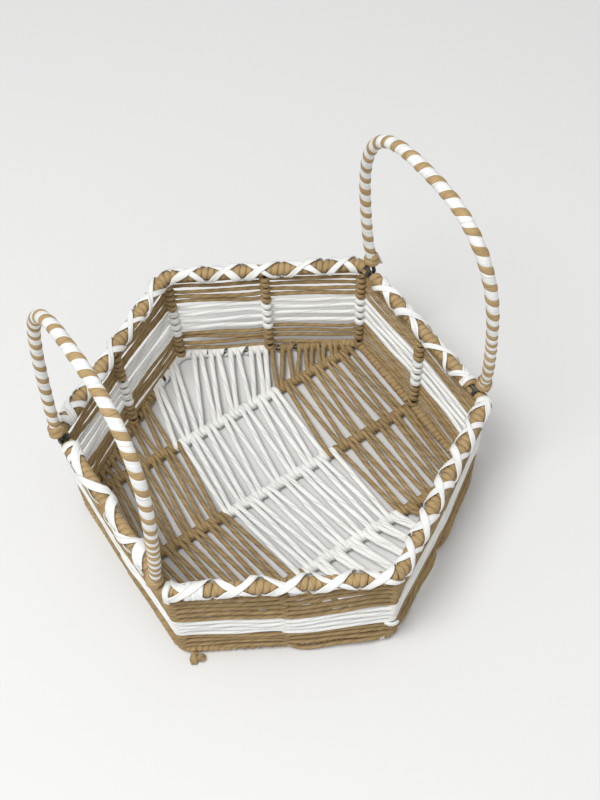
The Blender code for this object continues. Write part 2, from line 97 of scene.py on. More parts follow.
class TreeMaker:
    """Adds nodes to a node tree, each with its inputs given as values or as sockets to link."""

    def __init__(self, tree: bpy.types.NodeTree) -> None:
        """Starts from an empty tree."""
        self.tree = tree
        tree.nodes.clear()

    def node(self, kind: str, inputs: dict[Any, Any] | None = None, **settings: Any) -> bpy.types.Node:
        """Adds one node.

        Args:
            kind: Blender's name for the type of node.
            inputs: Values or output sockets, by the input's name or number.
            **settings: Properties of the node.

        Returns:
            The node.
        """
        made = self.tree.nodes.new(kind)
        for name, value in settings.items():
            setattr(made, name, value)
        for key, value in (inputs or {}).items():
            if isinstance(value, bpy.types.NodeSocket):
                self.tree.links.new(value, made.inputs[key])
            else:
                made.inputs[key].default_value = value
        return made

    def value(self, operation: str, *inputs: Any) -> bpy.types.NodeSocket:
        """The output of a math node with these inputs."""
        return self.node("ShaderNodeMath", dict(enumerate(inputs)), operation=operation).outputs[0]

    def vector(self, x: Any, y: Any, z: Any) -> bpy.types.NodeSocket:
        """A vector from three numbers or sockets."""
        return self.node("ShaderNodeCombineXYZ", {0: x, 1: y, 2: z}).outputs[0]

    def scaled(self, vector: Any, scale: Any) -> bpy.types.NodeSocket:
        """A vector times a number or a socket."""
        return self.node("ShaderNodeVectorMath", {0: vector, "Scale": scale}, operation="SCALE").outputs[0]


class Shading(TreeMaker):
    """A new material and the nodes that paper and wire share."""

    def __init__(self, name: str) -> None:
        """Makes the material, with an empty tree.

        Args:
            name: The material's name.
        """
        self.material = bpy.data.materials.new(name)
        self.material.use_nodes = True
        super().__init__(self.material.node_tree)

    def noise(self, place: Any, scale: float, detail: float, roughness: float = 0.5) -> bpy.types.NodeSocket:
        """Noise at a place."""
        inputs = {"Vector": place, "Scale": scale, "Detail": detail, "Roughness": roughness}
        return self.node("ShaderNodeTexNoise", inputs).outputs["Fac"]

    def ranged(self, value: Any, low: float, high: float, kind: str = "LINEAR") -> bpy.types.NodeSocket:
        """The share that a value has reached between two limits."""
        inputs = {"Value": value, "From Min": low, "From Max": high}
        return self.node("ShaderNodeMapRange", inputs, interpolation_type=kind).outputs[0]

    def mix(self, share: Any, *colours: Any) -> bpy.types.NodeSocket:
        """The colour between two, each given as three numbers or as a socket."""
        ends = [colour if isinstance(colour, bpy.types.NodeSocket) else (*colour, 1) for colour in colours]
        return self.node("ShaderNodeMix", {0: share, 6: ends[0], 7: ends[1]}, data_type="RGBA").outputs[2]

    def bump(self, height: Any, strength: float, distance: float) -> bpy.types.NodeSocket:
        """The normal of a surface with fine relief."""
        inputs = {"Height": height, "Strength": strength, "Distance": distance}
        return self.node("ShaderNodeBump", inputs).outputs[0]

    def finished(self, inputs: dict[str, Any]) -> bpy.types.Material:
        """The material, ended with a Principled shader that has these inputs.

        Args:
            inputs: Values or output sockets, by the shader's own names.

        Returns:
            The finished material.
        """
        shader = self.node("ShaderNodeBsdfPrincipled", inputs)
        self.node("ShaderNodeOutputMaterial", {"Surface": shader.outputs[0]})
        return self.material


@dataclass(frozen=True)
class PaperFinish:
    """Twisted kraft paper: its plies, the fibres along them, slow changes of tone, and painted shade along the
    grooves between the plies.
    """

    name: str
    light: Colour
    shade: Colour
    # The last colour is painted shade for the grooves between the plies: the share sets how wide it is, and the
    # strength how much it darkens.
    painted_groove_shade: Colour
    groove_shade_share: float
    seam_depth: float
    roughness: float
    fibre_length: float
    tone_size: float
    groove_shade_strength: float
    streak_count: float
    plies: int = 2
    specular: float = 0.3
    relief: float = 0.7
    weights: tuple[float, float, float] = (0.9, 0.5, 0.6)
    tone_range: tuple[float, float] = (0.72, 1.28)

    def build(self) -> bpy.types.Material:
        """Builds the material.

        Returns:
            A material that reads the rope's own "lay" attribute: cosine and sine round the rope, and metres along it.
        """
        maker = Shading(self.name)
        lay = maker.node("ShaderNodeAttribute", attribute_name="lay").outputs["Vector"]
        parts = maker.node("ShaderNodeSeparateXYZ", {0: lay}).outputs
        turn = maker.value("ARCTAN2", parts[1], parts[0])
        wave = maker.value("COSINE", maker.value("MULTIPLY", turn, float(self.plies)))
        # The grooves between the plies: this mask paints shade into them and also sinks them in the relief.
        painted_groove_shade = maker.ranged(wave, 1 - 2 * self.groove_shade_share, 1.0, "SMOOTHSTEP")
        streaks = self.streaks(maker, parts, 1.0, 1.0, 3.0)
        fibres = self.streaks(maker, parts, 3.0, 2.6, 4.0)
        tones = maker.noise(maker.node("ShaderNodeTexCoord").outputs["Object"], 1 / self.tone_size, 2.0)
        layers = [maker.value("MULTIPLY", *pair) for pair in zip((streaks, tones, fibres), self.weights)]
        mixed = maker.value("ADD", maker.value("ADD", layers[0], layers[1]), layers[2])
        ground = maker.mix(maker.ranged(mixed, *self.tone_range), self.shade, self.light)
        # How strongly the painted shade darkens the grooves.
        painted_shade_amount = maker.value("MULTIPLY", painted_groove_shade, self.groove_shade_strength)
        height = maker.value("SUBTRACT", maker.value("MULTIPLY", fibres, 0.5), painted_groove_shade)
        return maker.finished({
            # Painted groove shade laid over the tone.
            "Base Color": maker.mix(painted_shade_amount, ground, self.painted_groove_shade),
            "Roughness": self.roughness,
            "Specular IOR Level": self.specular,
            "Normal": maker.bump(height, self.relief, self.seam_depth),
        })

    def streaks(self, maker: Shading, parts: Any, around: float, along: float, detail: float) -> bpy.types.NodeSocket:
        """Noise drawn out along the rope, so many times as fine as the finish's own streaks.

        Args:
            maker: The material's tree.
            parts: The separated lay of the rope.
            around: How many times as fine round the rope.
            along: How many times as fine along it.
            detail: The noise's detail.

        Returns:
            The noise's socket.
        """
        count = around * self.streak_count
        spot = maker.vector(
            maker.value("MULTIPLY", parts[0], count),
            maker.value("MULTIPLY", parts[1], count),
            maker.value("MULTIPLY", parts[2], along / self.fibre_length),
        )
        return maker.noise(spot, 1.0, detail, 0.6)


@dataclass(frozen=True)
class WireFinish:
    """Bare drawn steel that has gone dull."""

    name: str = "bare drawn wire"
    colour: Colour = (0.12, 0.13, 0.115)
    dull: Colour = (0.055, 0.05, 0.04)
    roughness: float = 0.42
    metallic: float = 0.75
    spot_size: float = 0.004
    dull_range: tuple[float, float] = (0.4, 0.65)
    relief: float = 0.25
    relief_depth: float = 0.0001

    def build(self) -> bpy.types.Material:
        """Builds the material, with dull spots over the bright wire.

        Returns:
            The material.
        """
        maker = Shading(self.name)
        noise = maker.noise(maker.node("ShaderNodeTexCoord").outputs["Object"], 1 / self.spot_size, 4.0)
        return maker.finished({
            "Base Color": maker.mix(maker.ranged(noise, *self.dull_range), self.colour, self.dull),
            "Roughness": self.roughness,
            "Metallic": self.metallic,
            "Normal": maker.bump(noise, self.relief, self.relief_depth),
        })


# In each finish the third colour is painted shade for the grooves between the plies.
BROWN_ROPE = PaperFinish(
    "brown kraft rope", (0.44, 0.311, 0.151), (0.215, 0.143, 0.062), (0.13, 0.085, 0.038),
    0.05, 0.0003, 0.72, 0.010, 0.03, 0.6, 2.2,
)
BROWN_TURNS = PaperFinish(
    "brown kraft turns", (0.49, 0.346, 0.172), (0.275, 0.184, 0.082), (0.16, 0.10, 0.04),
    0.04, 0.0002, 0.66, 0.009, 0.028, 0.22, 3.0,
)
WHITE_ROPE = PaperFinish(
    "white paper rope", (0.90, 0.905, 0.88), (0.72, 0.725, 0.70), (0.46, 0.465, 0.45),
    0.03, 0.0003, 0.62, 0.014, 0.04, 0.55, 2.4,
)
WHITE_RIBBON = PaperFinish(
    "white paper ribbon", (0.87, 0.875, 0.855), (0.66, 0.665, 0.645), (0.55, 0.555, 0.54),
    0.015, 0.0005, 0.5, 0.03, 0.03, 0.2, 4.0,
)


@dataclass
class Run:
    """One length of rope or ribbon: the line it follows, which way its back faces, and its size along it."""

    points: list[np.ndarray] = field(default_factory=list)
    facings: list[np.ndarray] = field(default_factory=list)
    girths: list[float] = field(default_factory=list)
    breadths: list[float] = field(default_factory=list)

    def add(self, point: np.ndarray, facing: np.ndarray, girth: float = 1.0, breadth: float = 1.0) -> None:
        """Adds a point to the end of the line.

        Args:
            point: The place.
            facing: The way that the rope's back faces there.
            girth: The whole section's size, as a share.
            breadth: Its width, as a share of that.
        """
        self.points.append(np.asarray(point, float))
        self.facings.append(np.asarray(facing, float))
        self.girths.append(girth)
        self.breadths.append(breadth)

    def smoothed(self, step: float) -> "Run":
        """A smooth line through the points, with no piece of it longer than the step.

        Args:
            step: The longest piece, in metres.

        Returns:
            The finer run.
        """
        places = np.array(self.points)
        others = np.column_stack([np.array(self.facings), self.girths, self.breadths])
        lengths = np.maximum(np.linalg.norm(np.diff(places, axis=0), axis=1), 1e-6)
        slopes = np.diff(places, axis=0) / lengths[:, None]
        tangents = np.empty_like(places)
        tangents[0], tangents[-1] = slopes[0], slopes[-1]
        before, after = lengths[:-1, None], lengths[1:, None]
        tangents[1:-1] = (after * slopes[:-1] + before * slopes[1:]) / (before + after)
        made = Run()
        for index, length in enumerate(lengths):
            pieces = max(1, math.ceil(length / step))
            for piece in range(pieces + (index == len(lengths) - 1)):
                share = piece / pieces
                square, cube = share**2, share**3
                spot = (
                    (2 * cube - 3 * square + 1) * places[index]
                    + (cube - 2 * square + share) * length * tangents[index]
                    + (3 * square - 2 * cube) * places[index + 1]
                    + (cube - square) * length * tangents[index + 1]
                )
                other = others[index] * (1 - share) + others[index + 1] * share
                made.add(spot, unit(other[:3]), float(other[3]), float(other[4]))
        return made


class Drift:
    """A number that wanders smoothly between two limits along a rope."""

    def __init__(self, chance: random.Random, low: float, high: float, spacing: float) -> None:
        """Draws the values that it passes through, one at every spacing."""
        self.knots = [chance.uniform(low, high) for _ in range(256)]
        self.spacing = spacing

    def at(self, place: float) -> float:
        """The number at a place, in metres along the rope.

        Args:
            place: The place.

        Returns:
            The number there.
        """
        whole, part = divmod(place / self.spacing, 1)
        part = eased(part)
        first = int(whole) % len(self.knots)
        return self.knots[first] * (1 - part) + self.knots[(first + 1) % len(self.knots)] * part


@dataclass(frozen=True)
class Gauge:
    """The section of a rope or ribbon, and the twist of its plies."""

    half_width: float
    half_thickness: float
    groove: float
    lay: float
    step: float
    roundness: float = 1.0
    sides: int = 10
    plies: int = 2


class RopeTree:
    """The Geometry Nodes tree that gives the runs of a rope their body."""

    INPUTS = {
        "Half Width": "NodeSocketFloat",
        "Half Thickness": "NodeSocketFloat",
        "Sides": "NodeSocketInt",
        "Plies": "NodeSocketFloat",
        "Groove Depth": "NodeSocketFloat",
        "Lay Length": "NodeSocketFloat",
        "Roundness": "NodeSocketFloat",
        "Finish": "NodeSocketMaterial",
    }

    def __init__(self) -> None:
        """Builds the tree once, for every rope to share."""
        self.tree = bpy.data.node_groups.new("rope along its runs", "GeometryNodeTree")
        self.maker = TreeMaker(self.tree)
        new_socket = self.tree.interface.new_socket
        new_socket("Geometry", in_out="INPUT", socket_type="NodeSocketGeometry")
        self.sockets = {
            name: new_socket(name, in_out="INPUT", socket_type=kind).identifier for name, kind in self.INPUTS.items()
        }
        new_socket("Geometry", in_out="OUTPUT", socket_type="NodeSocketGeometry")
        self.source = self.maker.node("NodeGroupInput").outputs
        self.lay_out()

    def captured(self, geometry: Any, items: dict[str, tuple[str, Any]]) -> Any:
        """Keeps fields on the points of a geometry.

        Args:
            geometry: The geometry's socket.
            items: For each name, the kind of data and the field's socket.

        Returns:
            The outputs of the capture node, which carry these names.
        """
        made = self.maker.node("GeometryNodeCaptureAttribute", {"Geometry": geometry}, domain="POINT")
        for name, (kind, socket) in items.items():
            made.capture_items.new(kind, name)
            self.maker.tree.links.new(socket, made.inputs[name])
        return made.outputs

    def named(self, name: str, kind: str) -> bpy.types.NodeSocket:
        """The socket of an attribute that a run carries."""
        return self.maker.node("GeometryNodeInputNamedAttribute", {"Name": name}, data_type=kind).outputs[0]

    def rail(self) -> Any:
        """The runs as curves, with their backs turned the right way and what the body needs kept on them.

        Returns:
            The outputs that carry the curves and what is kept.
        """
        node = self.maker.node
        curve = node("GeometryNodeMeshToCurve", {"Mesh": self.source["Geometry"]}).outputs[0]
        facing = self.named("facing", "FLOAT_VECTOR")
        curve = node("GeometryNodeSetCurveNormal", {"Curve": curve, "Normal": facing}, mode="FREE").outputs[0]
        tangent = node("GeometryNodeInputTangent").outputs[0]
        across = node("ShaderNodeVectorMath", {0: tangent, 1: facing}, operation="CROSS_PRODUCT").outputs[0]
        length = node("GeometryNodeSplineParameter").outputs["Length"]
        spare = self.maker.value("SUBTRACT", self.named("breadth", "FLOAT"), 1.0)
        kept = {"across": ("VECTOR", across), "length": ("FLOAT", length), "spare": ("FLOAT", spare)}
        return self.captured(curve, kept)

    def squared(self, wave: str, turn: Any) -> bpy.types.NodeSocket:
        """The sine or cosine of an angle, made squarer by the roundness: one is a circle, and less is boxier.

        Args:
            wave: SINE or COSINE.
            turn: The angle's socket.

        Returns:
            The squared wave's socket.
        """
        value = self.maker.value
        plain = value(wave, turn)
        size = value("POWER", value("ABSOLUTE", plain), self.source["Roundness"])
        return value("MULTIPLY", value("SIGN", plain), size)

    def section(self) -> tuple[Any, bpy.types.NodeSocket]:
        """The turn and place across of each point of the rope's section, and the section as a closed curve.

        Returns:
            The outputs that carry both, and the curve's socket.
        """
        node, value = self.maker.node, self.maker.value
        sides = self.source["Sides"]
        ring = node("GeometryNodeCurvePrimitiveCircle", {"Resolution": sides, "Radius": 1.0}).outputs[0]
        index = node("GeometryNodeInputIndex").outputs[0]
        turn = value("DIVIDE", value("MULTIPLY", index, FULL_TURN), sides)
        side = value("MULTIPLY", self.squared("SINE", turn), self.source["Half Width"])
        back = value("MULTIPLY", self.squared("COSINE", turn), self.source["Half Thickness"])
        spot = self.maker.vector(back, side, 0.0)
        kept = self.captured(ring, {"turn": ("FLOAT", turn), "side": ("FLOAT", side)})
        moved = node("GeometryNodeSetPosition", {"Geometry": kept["Geometry"], "Position": spot})
        return kept, moved.outputs[0]

    def lay_out(self) -> None:
        """Lays out the whole tree: rail, section, body, plies, coordinates for the finish, and the finish."""
        node, value, scaled = self.maker.node, self.maker.value, self.maker.scaled
        rail = self.rail()
        kept, section = self.section()
        body = node("GeometryNodeCurveToMesh", {
            "Curve": rail["Geometry"],
            "Profile Curve": section,
            "Scale": self.named("girth", "FLOAT"),
            "Fill Caps": True,
        }).outputs[0]
        sideways = scaled(rail["across"], value("MULTIPLY", kept["side"], rail["spare"]))
        body = node("GeometryNodeSetPosition", {"Geometry": body, "Offset": sideways}).outputs[0]
        lays = value("DIVIDE", rail["length"], self.source["Lay Length"])
        turn = value("ADD", kept["turn"], value("MULTIPLY", lays, FULL_TURN))
        wave = value("COSINE", value("MULTIPLY", turn, self.source["Plies"]))
        half_depth = value("MULTIPLY", self.source["Groove Depth"], -0.5)
        depth = value("MULTIPLY", value("ADD", wave, 1.0), half_depth)
        inward = scaled(node("GeometryNodeInputNormal").outputs[0], depth)
        body = node("GeometryNodeSetPosition", {"Geometry": body, "Offset": inward}).outputs[0]
        lay = self.maker.vector(value("COSINE", turn), value("SINE", turn), rail["length"])
        stored = {"Geometry": body, "Name": "lay", "Value": lay}
        body = node("GeometryNodeStoreNamedAttribute", stored, data_type="FLOAT_VECTOR", domain="POINT").outputs[0]
        body = node("GeometryNodeSetShadeSmooth", {"Geometry": body, "Shade Smooth": True}).outputs[0]
        body = node("GeometryNodeRealizeInstances", {"Geometry": body}).outputs[0]
        body = node("GeometryNodeSetMaterial", {"Geometry": body, "Material": self.source["Finish"]}).outputs[0]
        node("NodeGroupOutput", {0: body})

    def make(self, name: str, runs: list[Run], gauge: Gauge, finish: bpy.types.Material) -> bpy.types.Object:
        """Makes one piece of rope from its runs.

        Args:
            name: The piece's name.
            runs: The lines that it follows.
            gauge: Its section and its plies.
            finish: Its material.

        Returns:
            The finished mesh object.
        """
        carrier = self.carrier(name, [run.smoothed(gauge.step) for run in runs])
        modifier = carrier.modifiers.new("rope", "NODES")
        modifier.node_group = self.tree
        values = (
            gauge.half_width, gauge.half_thickness, gauge.sides, float(gauge.plies), gauge.groove, gauge.lay,
            gauge.roundness, finish,
        )
        for key, value in zip(self.INPUTS, values):
            modifier[self.sockets[key]] = value
        graph = bpy.context.evaluated_depsgraph_get()
        mesh = bpy.data.meshes.new_from_object(carrier.evaluated_get(graph))
        bpy.data.objects.remove(carrier)
        mesh.name = name
        piece = bpy.data.objects.new(name, mesh)
        bpy.context.scene.collection.objects.link(piece)
        return piece

    @staticmethod
    def carrier(name: str, runs: list[Run]) -> bpy.types.Object:
        """An object whose mesh holds the runs as chains of edges, with their attributes.

        Args:
            name: The piece's name.
            runs: The runs, already smooth.

        Returns:
            The object.
        """
        points = np.array([point for run in runs for point in run.points])
        starts = np.cumsum([0] + [len(run.points) for run in runs])
        edges = [(i, i + 1) for a, b in zip(starts, starts[1:]) for i in range(a, b - 1)]
        mesh = bpy.data.meshes.new(name)
        mesh.from_pydata(points.tolist(), edges, [])
        facings = np.array([facing for run in runs for facing in run.facings], np.float32)
        mesh.attributes.new("facing", "FLOAT_VECTOR", "POINT").data.foreach_set("vector", facings.ravel())
        for key in ("girth", "breadth"):
            numbers = np.array([value for run in runs for value in getattr(run, f"{key}s")], np.float32)
            mesh.attributes.new(key, "FLOAT", "POINT").data.foreach_set("value", numbers)
        made = bpy.data.objects.new(f"{name}_runs", mesh)
        bpy.context.scene.collection.objects.link(made)
        return made


class WireRing:
    """A wire ring of the frame, walked by distance anticlockwise from the middle of the right handle's side."""

    COIL_STEPS = 14

    def __init__(self, node: str) -> None:
        """Takes the ring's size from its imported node.

        Args:
            node: The node's name.
        """
        low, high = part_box(node)
        self.wire_radius = (high.z - low.z) / 2
        self.height = (high.z + low.z) / 2
        self.apothem = high.y - self.wire_radius
        slant = 1 / math.cos(SIDE_TURN / 2)
        self.rounding = (self.apothem * slant + self.wire_radius - high.x) / (slant - 1)
        self.half_straight = (self.apothem - self.rounding) * math.tan(SIDE_TURN / 2)
        self.side_length = 2 * self.half_straight + self.rounding * SIDE_TURN

    def at(self, distance: float) -> tuple[np.ndarray, np.ndarray]:
        """The wire's centre at a distance round the ring, and the outward direction there.

        Args:
            distance: The distance, in metres.

        Returns:
            The centre and the direction.
        """
        side = math.floor(distance / self.side_length + 0.5)
        along = distance - side * self.side_length
        angle = SIDE_TURN * (side + 0.5)
        normal = np.array((math.cos(angle), math.sin(angle), 0.0))
        tangent = np.cross(UP, normal)
        height = UP * self.height
        if abs(along) <= self.half_straight:
            return normal * self.apothem + tangent * along + height, normal
        tangent = tangent * math.copysign(1, along)
        outward = turned(normal, tangent, (abs(along) - self.half_straight) / self.rounding)
        centre = normal * (self.apothem - self.rounding) + tangent * self.half_straight
        return centre + outward * self.rounding + height, outward

    def coil(self, start: float, end: float, pitch: float, radius: float, chance: random.Random | None = None) -> Run:
        """A winding round the wire, from its inner side.

        Args:
            start: Distance round the ring where it starts.
            end: Distance where it ends.
            pitch: Length along the ring that each turn takes.
            radius: From the wire's centre to the middle of the rope.
            chance: A seeded source of unevenness, or none for even turns.

        Returns:
            The winding's run.
        """
        run = Run()
        turns = (end - start) / pitch
        steps = max(4, round(turns * self.COIL_STEPS))
        lean = Drift(chance, -0.07, 0.07, pitch / 2) if chance else None
        full = Drift(chance, -0.06, 0.05, pitch * 0.8) if chance else None
        for step in range(steps + 1):
            share = step / steps
            place = (end - start) * share
            shift = lean.at(place) * pitch if lean else 0.0
            centre, outward = self.at(start + place + shift)
            away = turned(outward, UP, math.pi + FULL_TURN * turns * share)
            run.add(centre + away * radius, away, 1.0 + (full.at(place) if full else 0.0))
        return run


@dataclass
class Basket:
    """What the sub-assemblies share: the rings of the frame, the rope tree and the finishes."""

    rim: WireRing = field(default_factory=lambda: WireRing("rim_wire_ring"))
    base: WireRing = field(default_factory=lambda: WireRing("base_wire_ring"))
    tree: RopeTree = field(default_factory=RopeTree)
    finishes: dict[str, bpy.types.Material] = field(default_factory=dict)

    def finish(self, kind: PaperFinish | WireFinish) -> bpy.types.Material:
        """The material of a finish, built the first time that it is asked for.

        Args:
            kind: The finish.

        Returns:
            Its material.
        """
        if kind.name not in self.finishes:
            self.finishes[kind.name] = kind.build()
        return self.finishes[kind.name]

    def rope(
        self,
        name: str,
        runs: list[Run],
        gauge: Gauge,
        kind: PaperFinish,
        body: Body = Body.BASKET,
        replaced: tuple[str, ...] = (),
    ) -> None:
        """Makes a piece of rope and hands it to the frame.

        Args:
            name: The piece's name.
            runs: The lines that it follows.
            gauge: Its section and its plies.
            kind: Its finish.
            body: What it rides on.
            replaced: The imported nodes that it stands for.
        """
        piece = self.tree.make(name, runs, gauge, self.finish(kind))
        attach(piece, body.value)
        if replaced:
            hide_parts(*replaced)
        LOG.info("%s: %d faces from %d runs", name, len(piece.data.polygons), len(runs))


@dataclass
class WireFrame:
    """The welded frame and the handles' wires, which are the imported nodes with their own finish."""

    basket: Basket
    starts: tuple[str, ...] = (
        "rim_wire_ring", "base_wire_ring", "handle_right_wire", "handle_left_wire", "stake_", "cross_wire_",
    )

    def dress(self) -> None:
        """Gives every bare wire its finish."""
        finish = self.basket.finish(WireFinish())
        for name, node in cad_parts.items():
            if name.startswith(self.starts):
                for slot in node.material_slots:
                    slot.material = finish
                LOG.info("%s: dressed as bare wire", name)


@dataclass(frozen=True)
class Meeting:
    """Where a row meets a stake: its middle, the outward direction, and half the turn that the row takes there."""

    middle: np.ndarray
    outward: np.ndarray
    half_turn: float

    def way(self, turn: float) -> np.ndarray:
        """The direction away from the stake at a turn clockwise from outward."""
        return turned(self.outward, np.cross(self.outward, UP), turn)


@dataclass
class Walls:
    """The rows of rope outside the stakes, each wrapped once round every stake as they climb clockwise.

    Stations count half sides anticlockwise from the middle of the right handle's side, and laps start at the
    front right corner.
    """

    basket: Basket
    rope_radius: float = 1.6 * MM
    reach: float = 2.77 * MM
    rows: int = 13
    white_rows: tuple[int, int] = (4, 8)
    white_start: float = 0.08
    first_station: int = 9
    lead: float = 7 * MM
    low_level: float = 3.0 * MM
    first_climb: float = 2.0 * MM
    first_laps: tuple[float, float] = (0.92, 1.1)
    top_level: float = 92.6 * MM
    plain_waist: tuple[float, float] = (28.5, 62.0)
    odd_waists: Triples = ((7, 31.5, 55.0), (8, 28.0, 53.0), (9, 28.5, 58.0), (6, 30.0, 59.0))
    pushed_stations: tuple[int, ...] = (8, 9, 10)
    pushed_at: tuple[int, ...] = (0, 12, 13, 24, 25, 37)
    pushed_by: tuple[float, ...] = (2.3, 2.3, 1.3, 1.3, 0.5, 0.0)
    slack_shares: tuple[float, ...] = (0.8, 1.0, 0.8)
    brown: Gauge = Gauge(1.6 * MM, 1.55 * MM, 0.16 * MM, 20 * MM, 2.4 * MM)
    white: Gauge = Gauge(2.1 * MM, 1.65 * MM, 0.12 * MM, 70 * MM, 2.4 * MM)
    white_hook: Triples = (
        (-0.07, 29.5, 3.0), (-0.04, 28.5, 4.6), (0.0, 26.5, 5.4),
        (0.03, 24.8, 5.0), (0.01, 24.0, 4.4), (-0.04, 24.6, 3.4),
    )
    wrap_girth: float = 0.12
    wrap_breadth: float = 0.45
    unevenness: float = 0.4 * MM
    waviness: float = 1.1 * MM
    most_wave: float = 1.6 * MM
    seed: int = 11

    def post(self, station: float, level: float) -> tuple[np.ndarray, np.ndarray]:
        """A place on the frame at a height over the base ring, and the outward direction there.

        Args:
            station: Where round the basket.
            level: The height over the base ring's middle.

        Returns:
            The point and the direction.
        """
        share = level / (self.basket.rim.height - self.basket.base.height)
        low, outward = self.basket.base.at(station * self.basket.base.side_length / 2)
        high, _ = self.basket.rim.at(station * self.basket.rim.side_length / 2)
        return low * (1 - share) + high * share, outward

    def level_at(self, passed: int) -> float:
        """The height of the rows after so many stakes.

        The first lap stays low until it is round, and the white band is narrower at the front.

        Args:
            passed: How many stakes the rows have passed.

        Returns:
            The height over the base ring's middle.
        """
        station = (self.first_station - passed) % 12
        waists = {int(odd): (low, high) for odd, low, high in self.odd_waists}
        low, high = (waist * MM for waist in waists.get(station, self.plain_waist))
        laps = [row + self.white_start for row in self.white_rows]
        second = self.low_level + (low - self.low_level) * self.first_laps[1] / laps[0]
        levels = (self.low_level, self.low_level + self.first_climb, second, low, high, self.top_level)
        return float(np.interp(passed / 12, (0.0, *self.first_laps, *laps, self.rows), levels))

    def band(self, first: int, last: int, chance: random.Random) -> Run:
        """One rope of the wall, with both ends tucked in behind a stake.

        Args:
            first: The stake behind which it starts, in stakes passed since the wall began.
            last: The stake behind which it ends, likewise.
            chance: A seeded source of unevenness.

        Returns:
            The rope's run.
        """
        run = Run()
        for passed in range(first, last + 1):
            station = self.first_station - passed
            middle, outward = self.post(station, self.level_at(passed))
            middle = middle + UP * chance.uniform(-self.unevenness, self.unevenness)
            meeting = Meeting(middle, outward, 0.0 if station % 2 == 0 else SIDE_TURN / 2)
            if run.points:
                pushed = np.interp(passed, self.pushed_at, self.pushed_by) * MM
                self.span(run, meeting, pushed if station % 12 in self.pushed_stations else 0.0, chance)
            self.wrap(run, meeting, 6 if passed == first else 0, 6 if passed == last else 12)
        return run

    def span(self, run: Run, meeting: Meeting, pushed: float, chance: random.Random) -> None:
        """Adds the rope between the last stake and the next one.

        Args:
            run: The rope's run.
            meeting: Where the row meets the next stake.
            pushed: How far outward it is pushed by the strands' hooks behind it.
            chance: A seeded source of unevenness.
        """
        way = meeting.way(-meeting.half_turn)
        travel = np.cross(way, UP)
        start, end = run.points[-1], meeting.middle + way * self.reach - UP * self.rope_radius
        waves = [max(-self.most_wave, min(self.most_wave, chance.gauss(0, self.waviness))) for _ in range(3)]
        spots = (start + travel * self.lead, (start + end) / 2, end - travel * self.lead)
        for spot, wave, share in zip(spots, waves, self.slack_shares):
            full = 1.0 + chance.uniform(-0.06, 0.08)
            out = pushed * share + chance.uniform(-0.2, 0.3) * MM
            run.add(spot + way * out + UP * (wave * share - 0.5 * pushed), way, full, full)

    def wrap(self, run: Run, meeting: Meeting, first: int, last: int) -> None:
        """Adds a turn of rope round a stake, or half of one.

        Args:
            run: The rope's run.
            meeting: Where the row meets the stake.
            first: The first of the turn's twelve steps.
            last: The last of them.
        """
        whole = FULL_TURN + 2 * meeting.half_turn
        for step in range(first, last + 1):
            way = meeting.way(-meeting.half_turn + whole * step / 12)
            level = self.rope_radius * (step / 6 - 1)
            press = math.sin(math.pi * step / 12)
            spot = meeting.middle + way * self.reach + UP * level
            run.add(spot, way, 1.0 + self.wrap_girth * press, 1.0 + self.wrap_breadth * press)

    def build(self) -> None:
        """Builds the brown rows below and above and the white rows between them."""
        chance = random.Random(self.seed)
        low, high = (12 * row for row in self.white_rows)
        lower = self.band(0, low, chance)
        middle = self.band(low, high, chance)
        upper = self.band(high, 12 * self.rows, chance)
        wraps = tuple(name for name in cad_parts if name.startswith("wrap_"))
        replaced = ("wall_rope_lower", "wall_rope_upper", *wraps)
        self.basket.rope("wall_rows_brown", [lower, upper], self.brown, BROWN_ROPE, replaced=replaced)
        hook = Run()
        for station, level, out in self.white_hook:
            spot, outward = self.post(self.first_station + station, level * MM)
            hook.add(spot + outward * out * MM, outward, 0.85, 0.9)
        replaced = ("wall_rope_middle",)
        self.basket.rope("wall_rows_white", [middle, hook], self.white, WHITE_ROPE, replaced=replaced)


